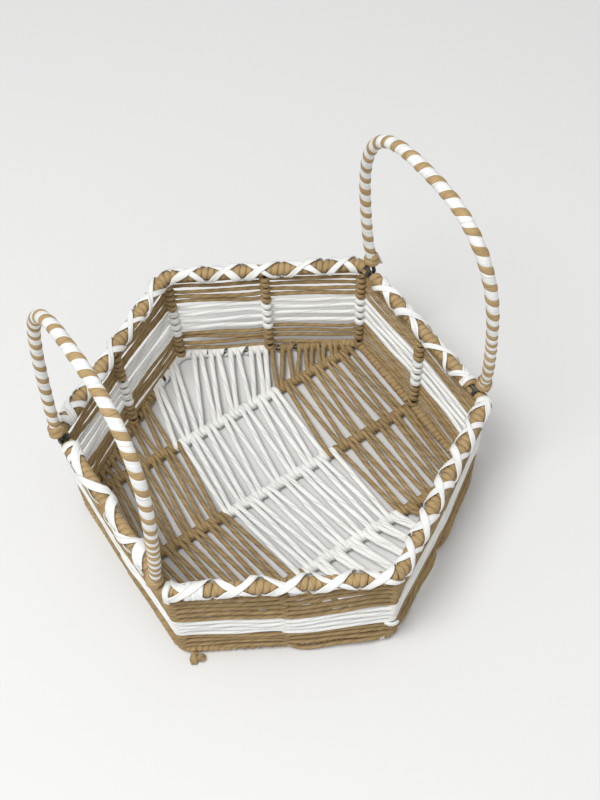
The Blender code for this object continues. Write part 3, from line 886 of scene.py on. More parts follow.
@dataclass
class FloorWeave:
    """Strands across the floor, which meet in pairs at the cross wires and loop over the base ring.

    The rows of numbers are the places of the pairs across the floor, in millimetres from its middle.
    """

    basket: Basket
    brown: Gauge = Gauge(1.85 * MM, 1.55 * MM, 0.2 * MM, 22 * MM, 2.4 * MM)
    white: Gauge = Gauge(2.2 * MM, 1.65 * MM, 0.14 * MM, 50 * MM, 2.4 * MM)
    tight_cover: Gauge = Gauge(2.2 * MM, 1.35 * MM, 0.12 * MM, 24 * MM, 1.8 * MM)
    loose_cover: Gauge = Gauge(3.5 * MM, 1.2 * MM, 0.08 * MM, 40 * MM, 1.8 * MM, 0.8)
    cross_cover: Gauge = Gauge(2.7 * MM, 1.05 * MM, 0.06 * MM, 24 * MM, 2.0 * MM, 0.8, sides=8)
    back_ring: tuple[float, ...] = (
        -119, -106, -93, -79, -65, -50, -32, -10.6, 12, 24, 38, 52.6, 63, 74.7, 86.7, 95.6, 103.5, 111.6,
    )
    wire_1: tuple[float, ...] = (
        -109, -97, -85, -73, -61.5, -49.8, -37.5, -25.4, -8.9, 6.6, 23.3, 36.6, 48.8, 63.7, 77.4, 89.5, 101.6, 113.6,
    )
    wire_2: tuple[float, ...] = (
        -116.5, -104, -91.8, -79.4, -67, -55.3, -44.1, -31.4, -17.3,
        -0.6, 15, 29.9, 44.9, 60.7, 74.8, 88.7, 102.5, 115,
    )
    wire_3: tuple[float, ...] = (
        -108, -93.5, -80.5, -68, -55.8, -43.5, -31, -17.9, -3.5, 11, 26, 38.6, 50.5, 64, 77, 89.6, 101.8, 112.5, 120,
    )
    strands: int = 36
    white_strands: tuple[int, int] = (12, 24)
    end_pitches: tuple[float, float] = (11.5, 9.0)
    pair_share: float = 0.98
    wire_radius: float = 1.25 * MM
    wire_inset: float = 4.5 * MM
    front_inset: float = 7 * MM
    front_fan: float = 19 * MM
    sag: float = 0.7 * MM
    loop_steps: int = 12
    hook_angles: tuple[float, ...] = (-190, -140, -90, -45, 0, 45, 90)
    cross_inset: float = 6 * MM
    hook_presses: tuple[float, float] = (0.8, 0.6)
    cross_pitch: float = 4.4 * MM
    cross_reach: float = 1.0 * MM
    corner_share: float = 0.97
    cover_pitches: tuple[float, float, float] = (4.0 * MM, 5.6 * MM, 7.2 * MM)
    cover_radii: tuple[float, float] = (2.8 * MM, 2.9 * MM)
    cover_limits: tuple[float, float] = (0.9 * MM, 24 * MM)
    loose_sides: tuple[float, float] = (1.5, 3.0)
    hidden_corner: tuple[float, float] = (4.5, 0.14)
    seed: int = 5

    def __post_init__(self) -> None:
        """Finds the cross wires and the directions along and across the strands."""
        self.across = np.array((math.cos(SIDE_TURN / 2), math.sin(SIDE_TURN / 2), 0.0))
        self.along = np.cross(UP, self.across)
        self.wires = []
        for number in (1, 2, 3):
            low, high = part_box(f"cross_wire_{number}")
            self.wires.append(np.array((low + high) / 2))
        base = self.basket.base
        self.ring_steps = [step * base.side_length / 200 for step in range(1200)]
        self.ring_laterals = np.array([float(base.at(step)[0] @ self.across) for step in self.ring_steps])
        self.hooks: list[tuple[float, float, Slot]] = []

    def ring_distance(self, lateral: float, at_back: bool) -> float:
        """Where round the base ring a strand at this place across the floor meets it.

        Args:
            lateral: The place across the floor.
            at_back: Whether it is the back half of the ring.

        Returns:
            The distance round the ring.
        """
        half = len(self.ring_steps) // 2
        if at_back:
            laterals, steps = self.ring_laterals[:half][::-1], self.ring_steps[:half][::-1]
        else:
            laterals, steps = self.ring_laterals[half:], self.ring_steps[half:]
        return float(np.interp(lateral, laterals, steps))

    def colour_of(self, strand: int) -> Slot:
        """The colour of a strand, counted from the left handle's side."""
        first, last = self.white_strands
        return Slot.WHITE if first <= strand <= last else Slot.BROWN

    def gauge_of(self, strand: int) -> Gauge:
        """The section of a strand."""
        return self.white if self.colour_of(strand) is Slot.WHITE else self.brown

    def crossings(self, strand: int) -> list[tuple[float, float]]:
        """Where a strand comes to each cross wire and where it leaves it.

        Args:
            strand: Its number from the left handle's side.

        Returns:
            For each wire, both places across the floor, in metres.
        """
        pair, right = divmod(strand, 2)
        spots = (
            (self.wire_1, pair - 1 + right, 1 - right),
            (self.wire_2, pair, right),
            (self.wire_3, pair + right, 1 - right),
        )
        width = self.gauge_of(strand).half_width * self.pair_share
        limit = self.basket.base.apothem - self.wire_inset
        found = []
        for pairs, number, is_right in spots:
            if number < 0:
                pitch = self.end_pitches[0]
                centre = pairs[0] - pitch
            else:
                centre = pairs[number]
                pitch = (pairs[min(number + 1, len(pairs) - 1)] - centre) or self.end_pitches[1]
            come = centre * MM + (width if is_right else -width)
            found.append((min(come, limit), min(come + pitch * MM / 2, limit)))
        return found

    def on_wire(self, wire: np.ndarray) -> np.ndarray:
        """The point of a cross wire in the middle of the floor."""
        return self.along * float(wire @ self.along) + UP * wire[2]

    def loop(self, run: Run, wire: np.ndarray, places: tuple[float, float], thickness: float) -> None:
        """Adds one turn of a strand round a cross wire, from one place across the floor to another.

        Args:
            run: The strand's run.
            wire: The cross wire's middle.
            places: Where the strand comes and where it leaves.
            thickness: Half the strand's thickness.
        """
        come, leave = places
        for step in range(self.loop_steps + 1):
            share = step / self.loop_steps
            away = turned(-self.along, UP, math.pi / 2 - FULL_TURN * share)
            lateral = come + (leave - come) * min(max((share - 0.1) / 0.8, 0.0), 1.0)
            spot = self.on_wire(wire) + self.across * lateral
            run.add(spot + away * (self.wire_radius + thickness), away, 1.0, 1.1)

    def ring_hook(self, run: Run, distance: float, thickness: float, leaving: bool) -> None:
        """Adds a strand's turn over the base ring: inside, below, outside and on top, or the other way round.

        Args:
            run: The strand's run.
            distance: Where round the ring.
            thickness: Half the strand's thickness.
            leaving: Whether the strand leaves the ring here, or comes to it.
        """
        centre, outward = self.basket.base.at(distance)
        reach = self.basket.base.wire_radius + thickness * self.hook_presses[0 if leaving else 1]
        for angle in self.hook_angles if leaving else self.hook_angles[::-1]:
            away = turned(outward, UP, math.radians(angle))
            run.add(centre + away * reach, away, 0.8, 1.25)

    def strand(self, number: int, chance: random.Random) -> Run:
        """One strand, from the base ring at the back to the base ring at the front.

        Args:
            number: Its number from the left handle's side.
            chance: A seeded source of unevenness.

        Returns:
            The strand's run.
        """
        pair, right = divmod(number, 2)
        gauge = self.gauge_of(number)
        offset = gauge.half_width * 1.1 * (1 if right else -1)
        run = Run()
        back = self.ring_distance(self.back_ring[pair] * MM + offset, True)
        self.ring_hook(run, back, gauge.half_thickness, True)
        crossings = self.crossings(number)
        for wire, places in zip(self.wires, crossings):
            self.slack(run, wire, places[0], gauge, chance)
            self.loop(run, wire, places, gauge.half_thickness)
        last, apothem = crossings[-1][1], self.basket.base.apothem
        fan = self.front_fan * (1 - (last / apothem) ** 2)
        front = self.ring_distance(min(last + fan + offset * 0.6, apothem - self.front_inset), False)
        middle = (run.points[-1] + self.basket.base.at(front)[0]) / 2
        middle[2] = run.points[-1][2] - self.sag
        run.add(middle, UP)
        self.ring_hook(run, front, gauge.half_thickness, False)
        self.hooks += [(place, gauge.half_width, self.colour_of(number)) for place in (back, front)]
        return run

    def slack(self, run: Run, wire: np.ndarray, come: float, gauge: Gauge, chance: random.Random) -> None:
        """Adds the straight stretch of a strand to its next wire, sagging a little between.

        Args:
            run: The strand's run.
            wire: The next cross wire's middle.
            come: Where the strand comes to it.
            gauge: The strand's section.
            chance: A seeded source of unevenness.
        """
        start = run.points[-1]
        height = self.wires[1][2] + self.wire_radius + gauge.half_thickness
        end = self.across * come + self.along * float(wire @ self.along) + UP * height
        bow = chance.uniform(-0.5, 0.5) * MM
        sag = self.sag * chance.uniform(0.4, 1.2)
        for share in (0.07, 0.33, 0.67, 0.93):
            bend = math.sin(math.pi * share)
            spot = start * (1 - share) + end * share + self.across * bow * bend
            spot[2] = height - sag * bend
            run.add(spot, UP, 1.0 + chance.uniform(-0.06, 0.06), 1.0 + chance.uniform(-0.06, 0.06))

    def wire_cover(self, chance: random.Random) -> dict[Slot, list[Run]]:
        """Winds each cross wire between its loops, in the colours of the strands that meet there.

        Args:
            chance: A seeded source of unevenness.

        Returns:
            The runs of both colours.
        """
        covers: dict[Slot, list[Run]] = {Slot.BROWN: [], Slot.WHITE: []}
        first, last = self.white_strands
        limit = self.basket.base.apothem - self.cross_inset
        for number, wire in enumerate(self.wires):
            low = self.crossings(first)[number][0] - self.white.half_width
            high = self.crossings(last)[number][1] + self.white.half_width
            half = limit if number == 1 else limit * self.corner_share
            for slot, start, end in ((Slot.BROWN, -half, low), (Slot.WHITE, low, high), (Slot.BROWN, high, half)):
                run = Run()
                lean = Drift(chance, -0.6 * MM, 0.6 * MM, 3 * MM)
                steps = round((end - start) / self.cross_pitch * self.loop_steps)
                for step in range(steps + 1):
                    place = start + (end - start) * step / steps
                    away = turned(-self.along, UP, FULL_TURN * step / self.loop_steps)
                    spot = self.on_wire(wire) + self.across * (place + lean.at(place + 0.2))
                    run.add(spot + away * (self.wire_radius + self.cross_reach), away)
                covers[slot].append(run)
        return covers

    def ring_cover(self, chance: random.Random) -> dict[Slot, list[Run]]:
        """Winds the base ring between the strands' hooks: tight brown turns, and long white ones that lie along it.

        Args:
            chance: A seeded source of unevenness.

        Returns:
            The runs of both colours.
        """
        covers: dict[Slot, list[Run]] = {Slot.BROWN: [], Slot.WHITE: []}
        hooks = sorted(self.hooks)
        shortest, longest = self.cover_limits
        corner, reach = self.hidden_corner
        for (low, width_low, slot), (high, width_high, other) in zip(hooks, hooks[1:]):
            start, end = low + width_low, high - width_high
            if not shortest < end - start < longest:
                continue
            sides = low / self.basket.base.side_length
            is_white = slot is Slot.WHITE and other is Slot.WHITE and abs(sides - corner) >= reach
            is_loose = is_white and self.loose_sides[0] < sides < self.loose_sides[1]
            turns = max(1, round((end - start) / self.cover_pitches[is_white + is_loose]))
            spare = 0.3 * (end - start) / turns
            pitch = (end - start + 2 * spare) / turns
            run = self.basket.base.coil(start - spare, end + spare, pitch, self.cover_radii[is_white], chance)
            covers[Slot.WHITE if is_white else Slot.BROWN].append(run)
        return covers

    def build(self) -> None:
        """Builds the strands and the windings of the base ring and the cross wires between them."""
        chance = random.Random(self.seed)
        first, last = self.white_strands
        bands = (
            ("left", range(0, first), BROWN_ROPE),
            ("middle", range(first, last + 1), WHITE_ROPE),
            ("right", range(last + 1, self.strands), BROWN_ROPE),
        )
        rope = self.basket.rope
        for name, numbers, finish in bands:
            runs = [self.strand(number, chance) for number in numbers]
            gauge = self.gauge_of(numbers[0])
            rope(f"floor_strands_{name}", runs, gauge, finish, replaced=(f"floor_rope_{name}",))
        ring, cross = self.ring_cover(chance), self.wire_cover(chance)
        rope("cross_turns_brown", cross[Slot.BROWN], self.cross_cover, BROWN_ROPE)
        rope("cross_turns_white", cross[Slot.WHITE], self.cross_cover, WHITE_ROPE)
        rope("base_turns_brown", ring[Slot.BROWN], self.tight_cover, BROWN_ROPE)
        rope("base_turns_white", ring[Slot.WHITE], self.loose_cover, WHITE_ROPE)

    def side_limits(self, side: int) -> tuple[float, float]:
        """How far along a side parallel to the strands its own winding can run, both ways from the middle.

        Args:
            side: The side's number.

        Returns:
            Both distances from the side's middle.
        """
        middle = side * self.basket.base.side_length
        lap = 6 * self.basket.base.side_length
        offsets = [((place - middle + lap / 2) % lap - lap / 2, width) for place, width, _ in self.hooks]
        low = max(offset + width for offset, width in offsets if offset < 0)
        high = min(offset - width for offset, width in offsets if offset >= 0)
        return low, high


@dataclass
class BaseWindings:
    """Tight turns on the two sides of the base ring that lie along the strands."""

    basket: Basket
    pitch: float = 4.1 * MM
    radius: float = 2.65 * MM
    stake_gap: float = 3.2 * MM
    gauge: Gauge = Gauge(2.2 * MM, 1.25 * MM, 0.06 * MM, 22 * MM, 1.6 * MM, 0.8)
    seed: int = 23

    def build(self, floor: FloorWeave) -> None:
        """Builds both windings, parted at the stake and the cross wire in the middle of their side.

        Args:
            floor: The weave whose strands take up the rest of the ring.
        """
        chance = random.Random(self.seed)
        ring = self.basket.base
        for name, side in (("right", 0), ("left", 3)):
            middle = side * ring.side_length
            start, end = floor.side_limits(side)
            runs = []
            for low, high in ((start, -self.stake_gap), (self.stake_gap, end)):
                pitch = (high - low) / round((high - low) / self.pitch)
                runs.append(ring.coil(middle + low, middle + high, pitch, self.radius, chance))
            replaced = (f"base_winding_{name}",)
            self.basket.rope(f"base_roll_{name}", runs, self.gauge, BROWN_TURNS, replaced=replaced)


@dataclass
class Arch:
    """The line of a handle's wire, from one foot to the other."""

    basket: Basket
    side: int
    half_width: float = 72 * MM
    top: float = 171 * MM
    widest_height: float = 64 * MM
    squareness: float = 2.725
    lean: float = math.radians(3.6)
    hook_radius: float = 3.3 * MM

    def __post_init__(self) -> None:
        """Works out evenly spaced points of the arch and the handle's own directions."""
        rise = self.top - self.widest_height
        power = 2 / self.squareness
        foot = -math.asin((self.widest_height / rise) ** (1 / power))
        angles = np.linspace(foot, math.pi - foot, 2000)
        self.across = np.sign(np.cos(angles)) * np.abs(np.cos(angles)) ** power * self.half_width
        self.height = self.widest_height + np.sign(np.sin(angles)) * np.abs(np.sin(angles)) ** power * rise
        self.runs = np.concatenate([[0], np.cumsum(np.hypot(np.diff(self.across), np.diff(self.height)))])
        self.length = float(self.runs[-1])
        self.hinge, outward = self.basket.rim.at(self.side * self.basket.rim.side_length)
        self.tangent = np.cross(UP, outward)
        self.outward = turned(outward, UP, self.lean)
        self.up = turned(UP, -outward, self.lean)

    @property
    def foot(self) -> float:
        """How far from the middle of its side a foot stands."""
        return float(self.across[0])

    def at(self, stop: float) -> tuple[np.ndarray, np.ndarray, np.ndarray]:
        """A point of the wire, the direction away from the arch's inside, and the direction outward from the basket.

        Args:
            stop: Distance along the wire from its first foot.

        Returns:
            The point and both directions.
        """
        spots = []
        for place in (stop - MM, stop, stop + MM):
            across = float(np.interp(place, self.runs, self.across))
            height = float(np.interp(place, self.runs, self.height))
            spots.append(self.tangent * across + self.up * height)
        square = unit(np.cross(unit(spots[2] - spots[0]), self.outward))
        return self.hinge + spots[1] + self.outward * self.hook_radius, square, self.outward

    def around(self, stop: float, angle: float, reach: float) -> tuple[np.ndarray, np.ndarray]:
        """A point beside the wire, at an angle round it and a distance from it, and the direction there.

        Args:
            stop: Distance along the wire from its first foot.
            angle: The angle from the arch's outside.
            reach: The distance from the wire's centre.

        Returns:
            The point and the direction.
        """
        centre, square, sideways = self.at(stop)
        away = turned(square, sideways, angle)
        return centre + away * reach, away


@dataclass
class Handle:
    """A handle: its wire with a brown rope and a white ribbon wound side by side.

    Lengths come in pairs, for the first foot and the last one. The tail is the ribbon's loose end, by distance
    from the first foot, angle round the wire and distance from it, in millimetres and degrees.
    """

    basket: Basket
    body: Body
    side: int
    tight_lengths: tuple[float, float]
    slim_lengths: tuple[float, float]
    tail: Triples = ()
    bare: float = 8.5 * MM
    core_radius: float = 2.9 * MM
    wide_pitch: float = 13.0 * MM
    tight_pitch: float = 8.6 * MM
    brown_width: float = 5.8 * MM
    slimming: float = 0.08
    overlap: float = 0.3 * MM
    turn_steps: int = 16
    lashing_pitch: float = 4.6 * MM
    lashing_steps: int = 25
    lashing_start: float = 7.5 * MM
    lashing_radius: float = 4.2 * MM
    tail_girth: float = 0.7
    brown: Gauge = Gauge(2.9 * MM, 1.65 * MM, 0.12 * MM, 30 * MM, 1.5 * MM, 0.9, sides=12)
    white: Gauge = Gauge(3.75 * MM, 1.3 * MM, 0.04 * MM, 120 * MM, 1.5 * MM, 0.8, sides=12)
    seed: int = 41

    def nearness(self, arch: Arch, stop: float, lengths: tuple[float, float]) -> float:
        """One near a foot, within these lengths from it, and zero well above."""
        near = min((stop - self.bare) / lengths[0], (arch.length - stop - self.bare) / lengths[1])
        return 1 - eased(near * 2.5 - 1.5)

    def windings(self, arch: Arch, chance: random.Random) -> tuple[Run, Run]:
        """The brown winding and the white one beside it.

        Args:
            arch: The line of the wire.
            chance: A seeded source of unevenness.

        Returns:
            Both runs.
        """
        brown, white = Run(), Run()
        drifts = [Drift(chance, -1, 1, 6 * MM) for _ in range(5)]
        stop, turn = self.bare, 0.0
        while stop < arch.length - self.bare:
            tight = self.nearness(arch, stop, self.tight_lengths)
            pitch = self.wide_pitch + (self.tight_pitch - self.wide_pitch) * tight
            pitch *= 1 + (0.04 + 0.16 * tight) * drifts[0].at(stop * 0.5)
            share = self.brown_width / self.wide_pitch * (1 + (0.05 + 0.3 * tight) * drifts[1].at(stop))
            girth = 1 - self.slimming * self.nearness(arch, stop, self.slim_lengths)
            centre_stop = stop + drifts[4].at(stop) * 0.25 * MM
            for run, ahead, width, gauge, drift in (
                (brown, 0.0, share * pitch, self.brown, drifts[2]),
                (white, math.pi, (1 - share) * pitch, self.white, drifts[3]),
            ):
                spot, away = arch.around(centre_stop, turn + ahead, self.core_radius * girth)
                breadth = (width + self.overlap) / (2 * gauge.half_width) / girth
                run.add(spot, away, girth * (1 + 0.05 * drift.at(stop)), breadth)
            stop += pitch / self.turn_steps
            turn += FULL_TURN / self.turn_steps
        return brown, white

    def lashing(self, arch: Arch, at_end: bool) -> Run:
        """The last fat turns round a foot, just over the hook.

        Args:
            arch: The line of the wire.
            at_end: Whether it is the last foot.

        Returns:
            The run of the turns.
        """
        run = Run()
        for step in range(self.lashing_steps + 1):
            stop = self.lashing_start + self.lashing_pitch * step / self.turn_steps
            turn = FULL_TURN * step / self.turn_steps
            spot, away = arch.around(arch.length - stop if at_end else stop, turn, self.lashing_radius)
            run.add(spot, away, 1.0, 0.95)
        return run

    def build(self) -> None:
        """Builds both windings, the turns at the feet and the ribbon's loose end."""
        arch = Arch(self.basket, self.side)
        name = self.body.value
        brown, white = self.windings(arch, random.Random(self.seed + self.side))
        browns = [brown, *(self.lashing(arch, at_end) for at_end in (False, True))]
        tail = Run()
        for stop, angle, reach in self.tail:
            tail.add(*arch.around(stop * MM, math.radians(angle), reach * MM), self.tail_girth)
        whites = [white, tail] if self.tail else [white]
        self.basket.rope(f"{name}_brown_rope", browns, self.brown, BROWN_TURNS, self.body, (f"{name}_core",))
        self.basket.rope(f"{name}_white_ribbon", whites, self.white, WHITE_RIBBON, self.body, (f"{name}_ribbon",))


@dataclass
class Rim:
    """The brown roll round the rim's wire, with two white ribbons that cross on top of it.

    Places round the rim are in sides from the middle of the right handle's side. The leans say how far inward
    from the top the ribbons cross, in degrees, and the crossings, side by side, where they do.
    """

    basket: Basket
    roll_pitch: float = 4.8 * MM
    roll_radius: float = 3.15 * MM
    roll: Gauge = Gauge(2.5 * MM, 1.6 * MM, 0.06 * MM, 22 * MM, 1.7 * MM, 0.8, sides=12)
    ribbon: Gauge = Gauge(2.5 * MM, 0.5 * MM, 0.0 * MM, 200 * MM, 1.3 * MM, 0.6, sides=12)
    ribbon_radius: float = 5.3 * MM
    hook_gap: float = 4.0 * MM
    inset: float = 7 * MM
    step: float = 0.8 * MM
    slow_share: float = 0.5
    tilt: float = math.radians(18)
    leans: tuple[tuple[float, float], ...] = (
        (-1, 0.0), (0, 0.0), (1, 30.0), (2, 15.0), (2.62, -5.0), (2.64, -78.0),
        (3.36, -78.0), (3.38, -30.0), (4, -38.0), (5, 0.0), (7, 0.0),
    )
    broad: tuple[float, float, float] = (2.62, 3.38, 1.4)
    crossings: tuple[tuple[float, ...], ...] = (
        (0.04, 0.216, 0.416, 0.668, 0.86),
        (0.12, 0.30, 0.47, 0.71, 0.905),
        (0.10, 0.28, 0.467, 0.66, 0.84),
        (0.14, 0.364, 0.705, 1.03),
        (0.06, 0.27, 0.495, 0.70, 0.90),
        (0.02, 0.19, 0.37, 0.54, 0.727, 0.88),
    )
    seed: int = 17

    def stretches(self, foot: float) -> list[tuple[str, float, float]]:
        """The four stretches of the rim between the handles' feet.

        Args:
            foot: How far from the middle of its side a foot stands.

        Returns:
            Each stretch's name, and the distances round the rim of its ends.
        """
        side = self.basket.rim.side_length
        inner, outer = foot - self.hook_gap, foot + self.hook_gap
        return [
            ("right", -inner, inner),
            ("back", outer, 3 * side - outer),
            ("left", 3 * side - inner, 3 * side + inner),
            ("front", 3 * side + outer, 6 * side - outer),
        ]

    def crossing_places(self) -> np.ndarray:
        """Distances round the rim at which the ribbons cross, over three laps so that none is missed at its ends.

        Returns:
            The distances, in order.
        """
        side = self.basket.rim.side_length
        places = [
            (number + 0.5 - share + lap * 6) * side
            for lap in (-1, 0, 1)
            for number, shares in enumerate(self.crossings)
            for share in shares
        ]
        return np.sort(np.array(places))

    def lean_at(self, distance: float) -> float:
        """How far inward from the top the ribbons cross, as an angle."""
        sides, leans = zip(*self.leans)
        return math.radians(float(np.interp(distance / self.basket.rim.side_length, sides, leans)))

    def turned_at(self, distance: float, places: np.ndarray) -> float:
        """How far a ribbon has turned since its last crossing on top: slowly there and fast underneath.

        Args:
            distance: The distance round the rim.
            places: The distances of the crossings.

        Returns:
            The angle.
        """
        phase = float(np.interp(distance, places, np.arange(len(places))))
        lap = math.floor(phase + 0.5)
        share = 2 * (phase - lap)
        slow = self.slow_share
        return FULL_TURN * lap + math.pi * share * (slow + (1 - slow) * share**4)

    def ribbon_run(self, start: float, end: float, hand: int, chance: random.Random) -> Run:
        """One ribbon along a stretch.

        Args:
            start: Distance round the rim where it starts.
            end: Distance where it ends.
            hand: 1 or -1, the sense of its turns.
            chance: A seeded source of unevenness.

        Returns:
            The ribbon's run.
        """
        places = self.crossing_places()
        run = Run()
        steps = round((end - start) / self.step)
        loose = Drift(chance, -0.1 * MM, 0.7 * MM, 7 * MM)
        tilt = Drift(chance, -self.tilt, self.tilt, 9 * MM)
        breadth = Drift(chance, 0.6, 1.3, 10 * MM)
        lean = Drift(chance, -0.3, 0.3, 24 * MM)
        first, last, broad = self.broad
        fuller = broad if first < start / self.basket.rim.side_length < last else 1.0
        for step in range(steps + 1):
            distance = start + (end - start) * step / steps
            place = distance + 0.1
            swing = self.turned_at(distance, places)
            centre, outward = self.basket.rim.at(distance)
            away = turned(outward, UP, math.pi / 2 + self.lean_at(distance) + lean.at(place) + hand * swing)
            lift = (0.5 + 0.5 * math.cos(swing)) * (0.8 * MM if hand > 0 else 0.0)
            lift += max(0.0, away @ -outward) * 0.8 * MM
            facing = unit(away + np.cross(outward, UP) * math.tan(tilt.at(place)))
            reach = self.ribbon_radius + lift + loose.at(place)
            run.add(centre + away * reach, facing, 1.0, fuller * breadth.at(place))
        return run

    def build(self, foot: float) -> None:
        """Builds the rolls and the ribbons.

        Args:
            foot: How far from the middle of its side a handle's foot stands.
        """
        chance = random.Random(self.seed)
        for name, start, end in self.stretches(foot):
            rolls = [self.basket.rim.coil(start, end, self.roll_pitch, self.roll_radius, chance)]
            self.basket.rope(f"rim_roll_{name}", rolls, self.roll, BROWN_TURNS, replaced=(f"rim_winding_{name}",))
            runs = [self.ribbon_run(start + self.inset, end - self.inset, hand, chance) for hand in (1, -1)]
            replaced = (f"rim_ribbon_{name}_1", f"rim_ribbon_{name}_2")
            self.basket.rope(f"rim_ribbons_{name}", runs, self.ribbon, WHITE_RIBBON, replaced=replaced)


@dataclass
class Knots:
    """The rope's brown end under the left front corner, and the white ties and loose ends by the handles' feet.

    A tie is its place round the rim, in sides, and its turns. A loose end runs through points, each given by its
    place in sides, its angle round the rim in degrees and its distance from the rim's wire in millimetres. The
    rope's end runs through points too: outward, sideways and up in millimetres, and the girth there.
    """

    basket: Basket
    ties: tuple[tuple[float, float], ...] = ((3.575, 3.3), (2.665, 1.3))
    tie_pitch: float = 3.9 * MM
    tie_radius: float = 5.6 * MM
    tails: tuple[Triples, ...] = (
        ((-0.362, 170, 5.8), (-0.367, 110, 5.7), (-0.372, 50, 5.7), (-0.372, 0, 6.0), (-0.367, -40, 8.0)),
        ((-0.515, 200, 5.5), (-0.51, 130, 5.6), (-0.505, 70, 6.0), (-0.505, 20, 6.2), (-0.51, -30, 7.5)),
        ((3.502, 190, 5.6), (3.502, 120, 6.0), (3.507, 50, 6.2), (3.512, -10, 6.6), (3.512, -40, 8.5)),
        ((2.622, 20, 5.8), (2.625, 80, 6.0), (2.628, 130, 6.2), (2.635, 165, 6.6), (2.64, 190, 7.2)),
    )
    stub: tuple[tuple[float, float, float, float], ...] = (
        (-4.5, -3.4, 5.0, 0.9), (-3, -3.6, 4.2, 0.95), (0, -4.0, 3.2, 1.05),
        (2.2, -4.1, 2.8, 1.0), (3.4, -4.1, 2.7, 0.7),
    )
    tie: Gauge = Gauge(2.3 * MM, 0.7 * MM, 0.04 * MM, 90 * MM, 1.4 * MM)
    end: Gauge = Gauge(2.9 * MM, 2.5 * MM, 0.45 * MM, 17 * MM, 1.2 * MM, sides=12, plies=3)
    end_shift: float = -8.3 * MM
    bead_steps: int = 14
    bead_height: float = 3.6 * MM
    bead_radius: float = 1.3 * MM

    def whites(self) -> list[Run]:
        """The ties and the loose ends.

        Returns:
            Their runs.
        """
        rim = self.basket.rim
        runs = []
        for share, turns in self.ties:
            place = share * rim.side_length
            runs.append(rim.coil(place, place + self.tie_pitch * turns, self.tie_pitch, self.tie_radius))
        for tail in self.tails:
            run = Run()
            for share, angle, reach in tail:
                centre, outward = rim.at(share * rim.side_length)
                away = turned(outward, UP, math.radians(angle))
                run.add(centre + away * reach * MM, away)
            runs.append(run)
        return runs

    def build(self) -> None:
        """Builds the ties and loose ends, and the rope's end with its bead."""
        self.basket.rope("rim_ties", self.whites(), self.tie, WHITE_RIBBON)
        low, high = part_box("rope_end_knot")
        outward = self.basket.base.at(4 * self.basket.base.side_length)[1]
        sideways = np.cross(UP, outward)
        seat = np.array((low + high) / 2) + sideways * self.end_shift
        stub, bead = Run(), Run()
        for ahead, aside, height, girth in self.stub:
            spot = seat + outward * ahead * MM + sideways * aside * MM
            spot[2] = height * MM
            stub.add(spot, UP, girth)
        for step in range(self.bead_steps + 1):
            away = turned(sideways, UP, FULL_TURN * step / self.bead_steps)
            spot = seat + outward * (-1.5 + step * 0.1) * MM + sideways * 1.2 * MM
            spot[2] = self.bead_height
            bead.add(spot + away * self.bead_radius, away, 0.8)
        self.basket.rope("rope_end", [stub, bead], self.end, BROWN_ROPE, replaced=("rope_end_knot",))


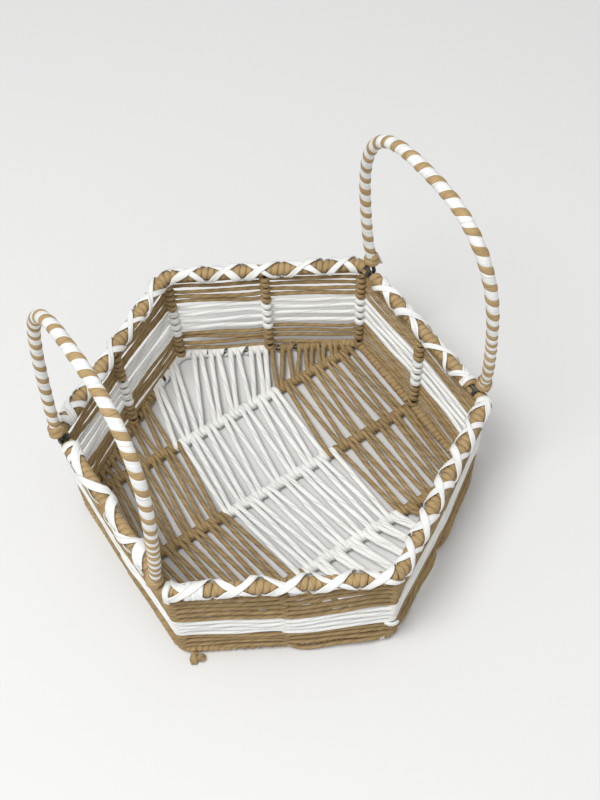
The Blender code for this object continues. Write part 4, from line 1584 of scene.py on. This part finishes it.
@dataclass
class Studio:
    """The pale floor, the lamps, the sky and the camera. A lamp has its name, place, size and power."""

    floor_colour: Colour = (0.72, 0.72, 0.715)
    floor_size: float = 8.0
    sky: float = 0.58
    lamps: tuple[tuple[str, Colour, float, float], ...] = (
        ("key_lamp", (-0.45, -0.5, 1.85), 0.8, 27.0),
        ("front_lamp", (0.1, -1.9, 0.8), 1.2, 3.0),
    )
    aim: tuple[float, float, float] = (0, 0, 0.08)
    lens: float = 57.65
    location: tuple[float, float, float] = (0.00974, -0.48015, 0.86187)
    right: tuple[float, float, float] = (0.997885, -0.059982, -0.025054)
    down: tuple[float, float, float] = (-0.063952, -0.836804, -0.543754)
    forward: tuple[float, float, float] = (0.011650, 0.544206, -0.838871)

    def floor(self) -> None:
        """Lays the floor."""
        mesh = bpy.data.meshes.new("studio_floor")
        half = self.floor_size / 2
        corners = [(-half, -half, 0), (half, -half, 0), (half, half, 0), (-half, half, 0)]
        mesh.from_pydata(corners, [], [(0, 1, 2, 3)])
        made = bpy.data.objects.new("studio_floor", mesh)
        bpy.context.scene.collection.objects.link(made)
        finish = bpy.data.materials.new("pale studio floor")
        finish.use_nodes = True
        shader = finish.node_tree.nodes["Principled BSDF"]
        shader.inputs["Base Color"].default_value = (*self.floor_colour, 1)
        shader.inputs["Roughness"].default_value = 0.9
        shader.inputs["Specular IOR Level"].default_value = 0.1
        mesh.materials.append(finish)

    def light(self) -> None:
        """Hangs the soft lamps, which shine at the basket, and sets the sky."""
        for name, spot, size, power in self.lamps:
            light = bpy.data.lights.new(name, "AREA")
            light.shape = "DISK"
            light.size = size
            light.energy = power
            made = bpy.data.objects.new(name, light)
            made.location = spot
            made.rotation_euler = (Vector(self.aim) - Vector(spot)).to_track_quat("-Z", "Y").to_euler()
            bpy.context.scene.collection.objects.link(made)
        world = bpy.data.worlds.new("studio_sky")
        world.use_nodes = True
        sky = world.node_tree.nodes["Background"].inputs
        sky[0].default_value = (1, 1, 1, 1)
        sky[1].default_value = self.sky
        bpy.context.scene.world = world

    def camera(self) -> None:
        """Sets up the camera at the photograph's angle."""
        lens = bpy.data.cameras.new("camera")
        lens.lens = self.lens
        lens.sensor_width = 36.0
        lens.clip_start = 0.01
        made = bpy.data.objects.new("camera", lens)
        columns = [Vector(self.right), -Vector(self.down), -Vector(self.forward)]
        made.matrix_world = Matrix.Translation(self.location) @ Matrix(columns).transposed().to_4x4()
        bpy.context.scene.collection.objects.link(made)
        bpy.context.scene.camera = made

    def build(self) -> None:
        """Sets up the whole studio."""
        self.floor()
        self.light()
        self.camera()
        bpy.context.scene.view_settings.view_transform = "Standard"


def main() -> None:
    """Builds every sub-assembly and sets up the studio."""
    logging.basicConfig(level=logging.INFO, format="%(name)s: %(message)s")
    basket = Basket()
    WireFrame(basket).dress()
    Walls(basket).build()
    floor = FloorWeave(basket)
    floor.build()
    BaseWindings(basket).build(floor)
    Rim(basket).build(Arch(basket, 0).foot)
    loose_end = ((13, 60, 4.4), (10.5, 70, 5.6), (7.5, 78, 6.6), (4.5, 84, 7.2), (2.5, 88, 7.4))
    Handle(basket, Body.RIGHT_HANDLE, 0, (10 * MM, 95 * MM), (160 * MM, 110 * MM), loose_end).build()
    Handle(basket, Body.LEFT_HANDLE, 3, (85 * MM, 20 * MM), (25 * MM, 140 * MM)).build()
    Knots(basket).build()
    Studio().build()


if __name__ == "__main__":
    main()
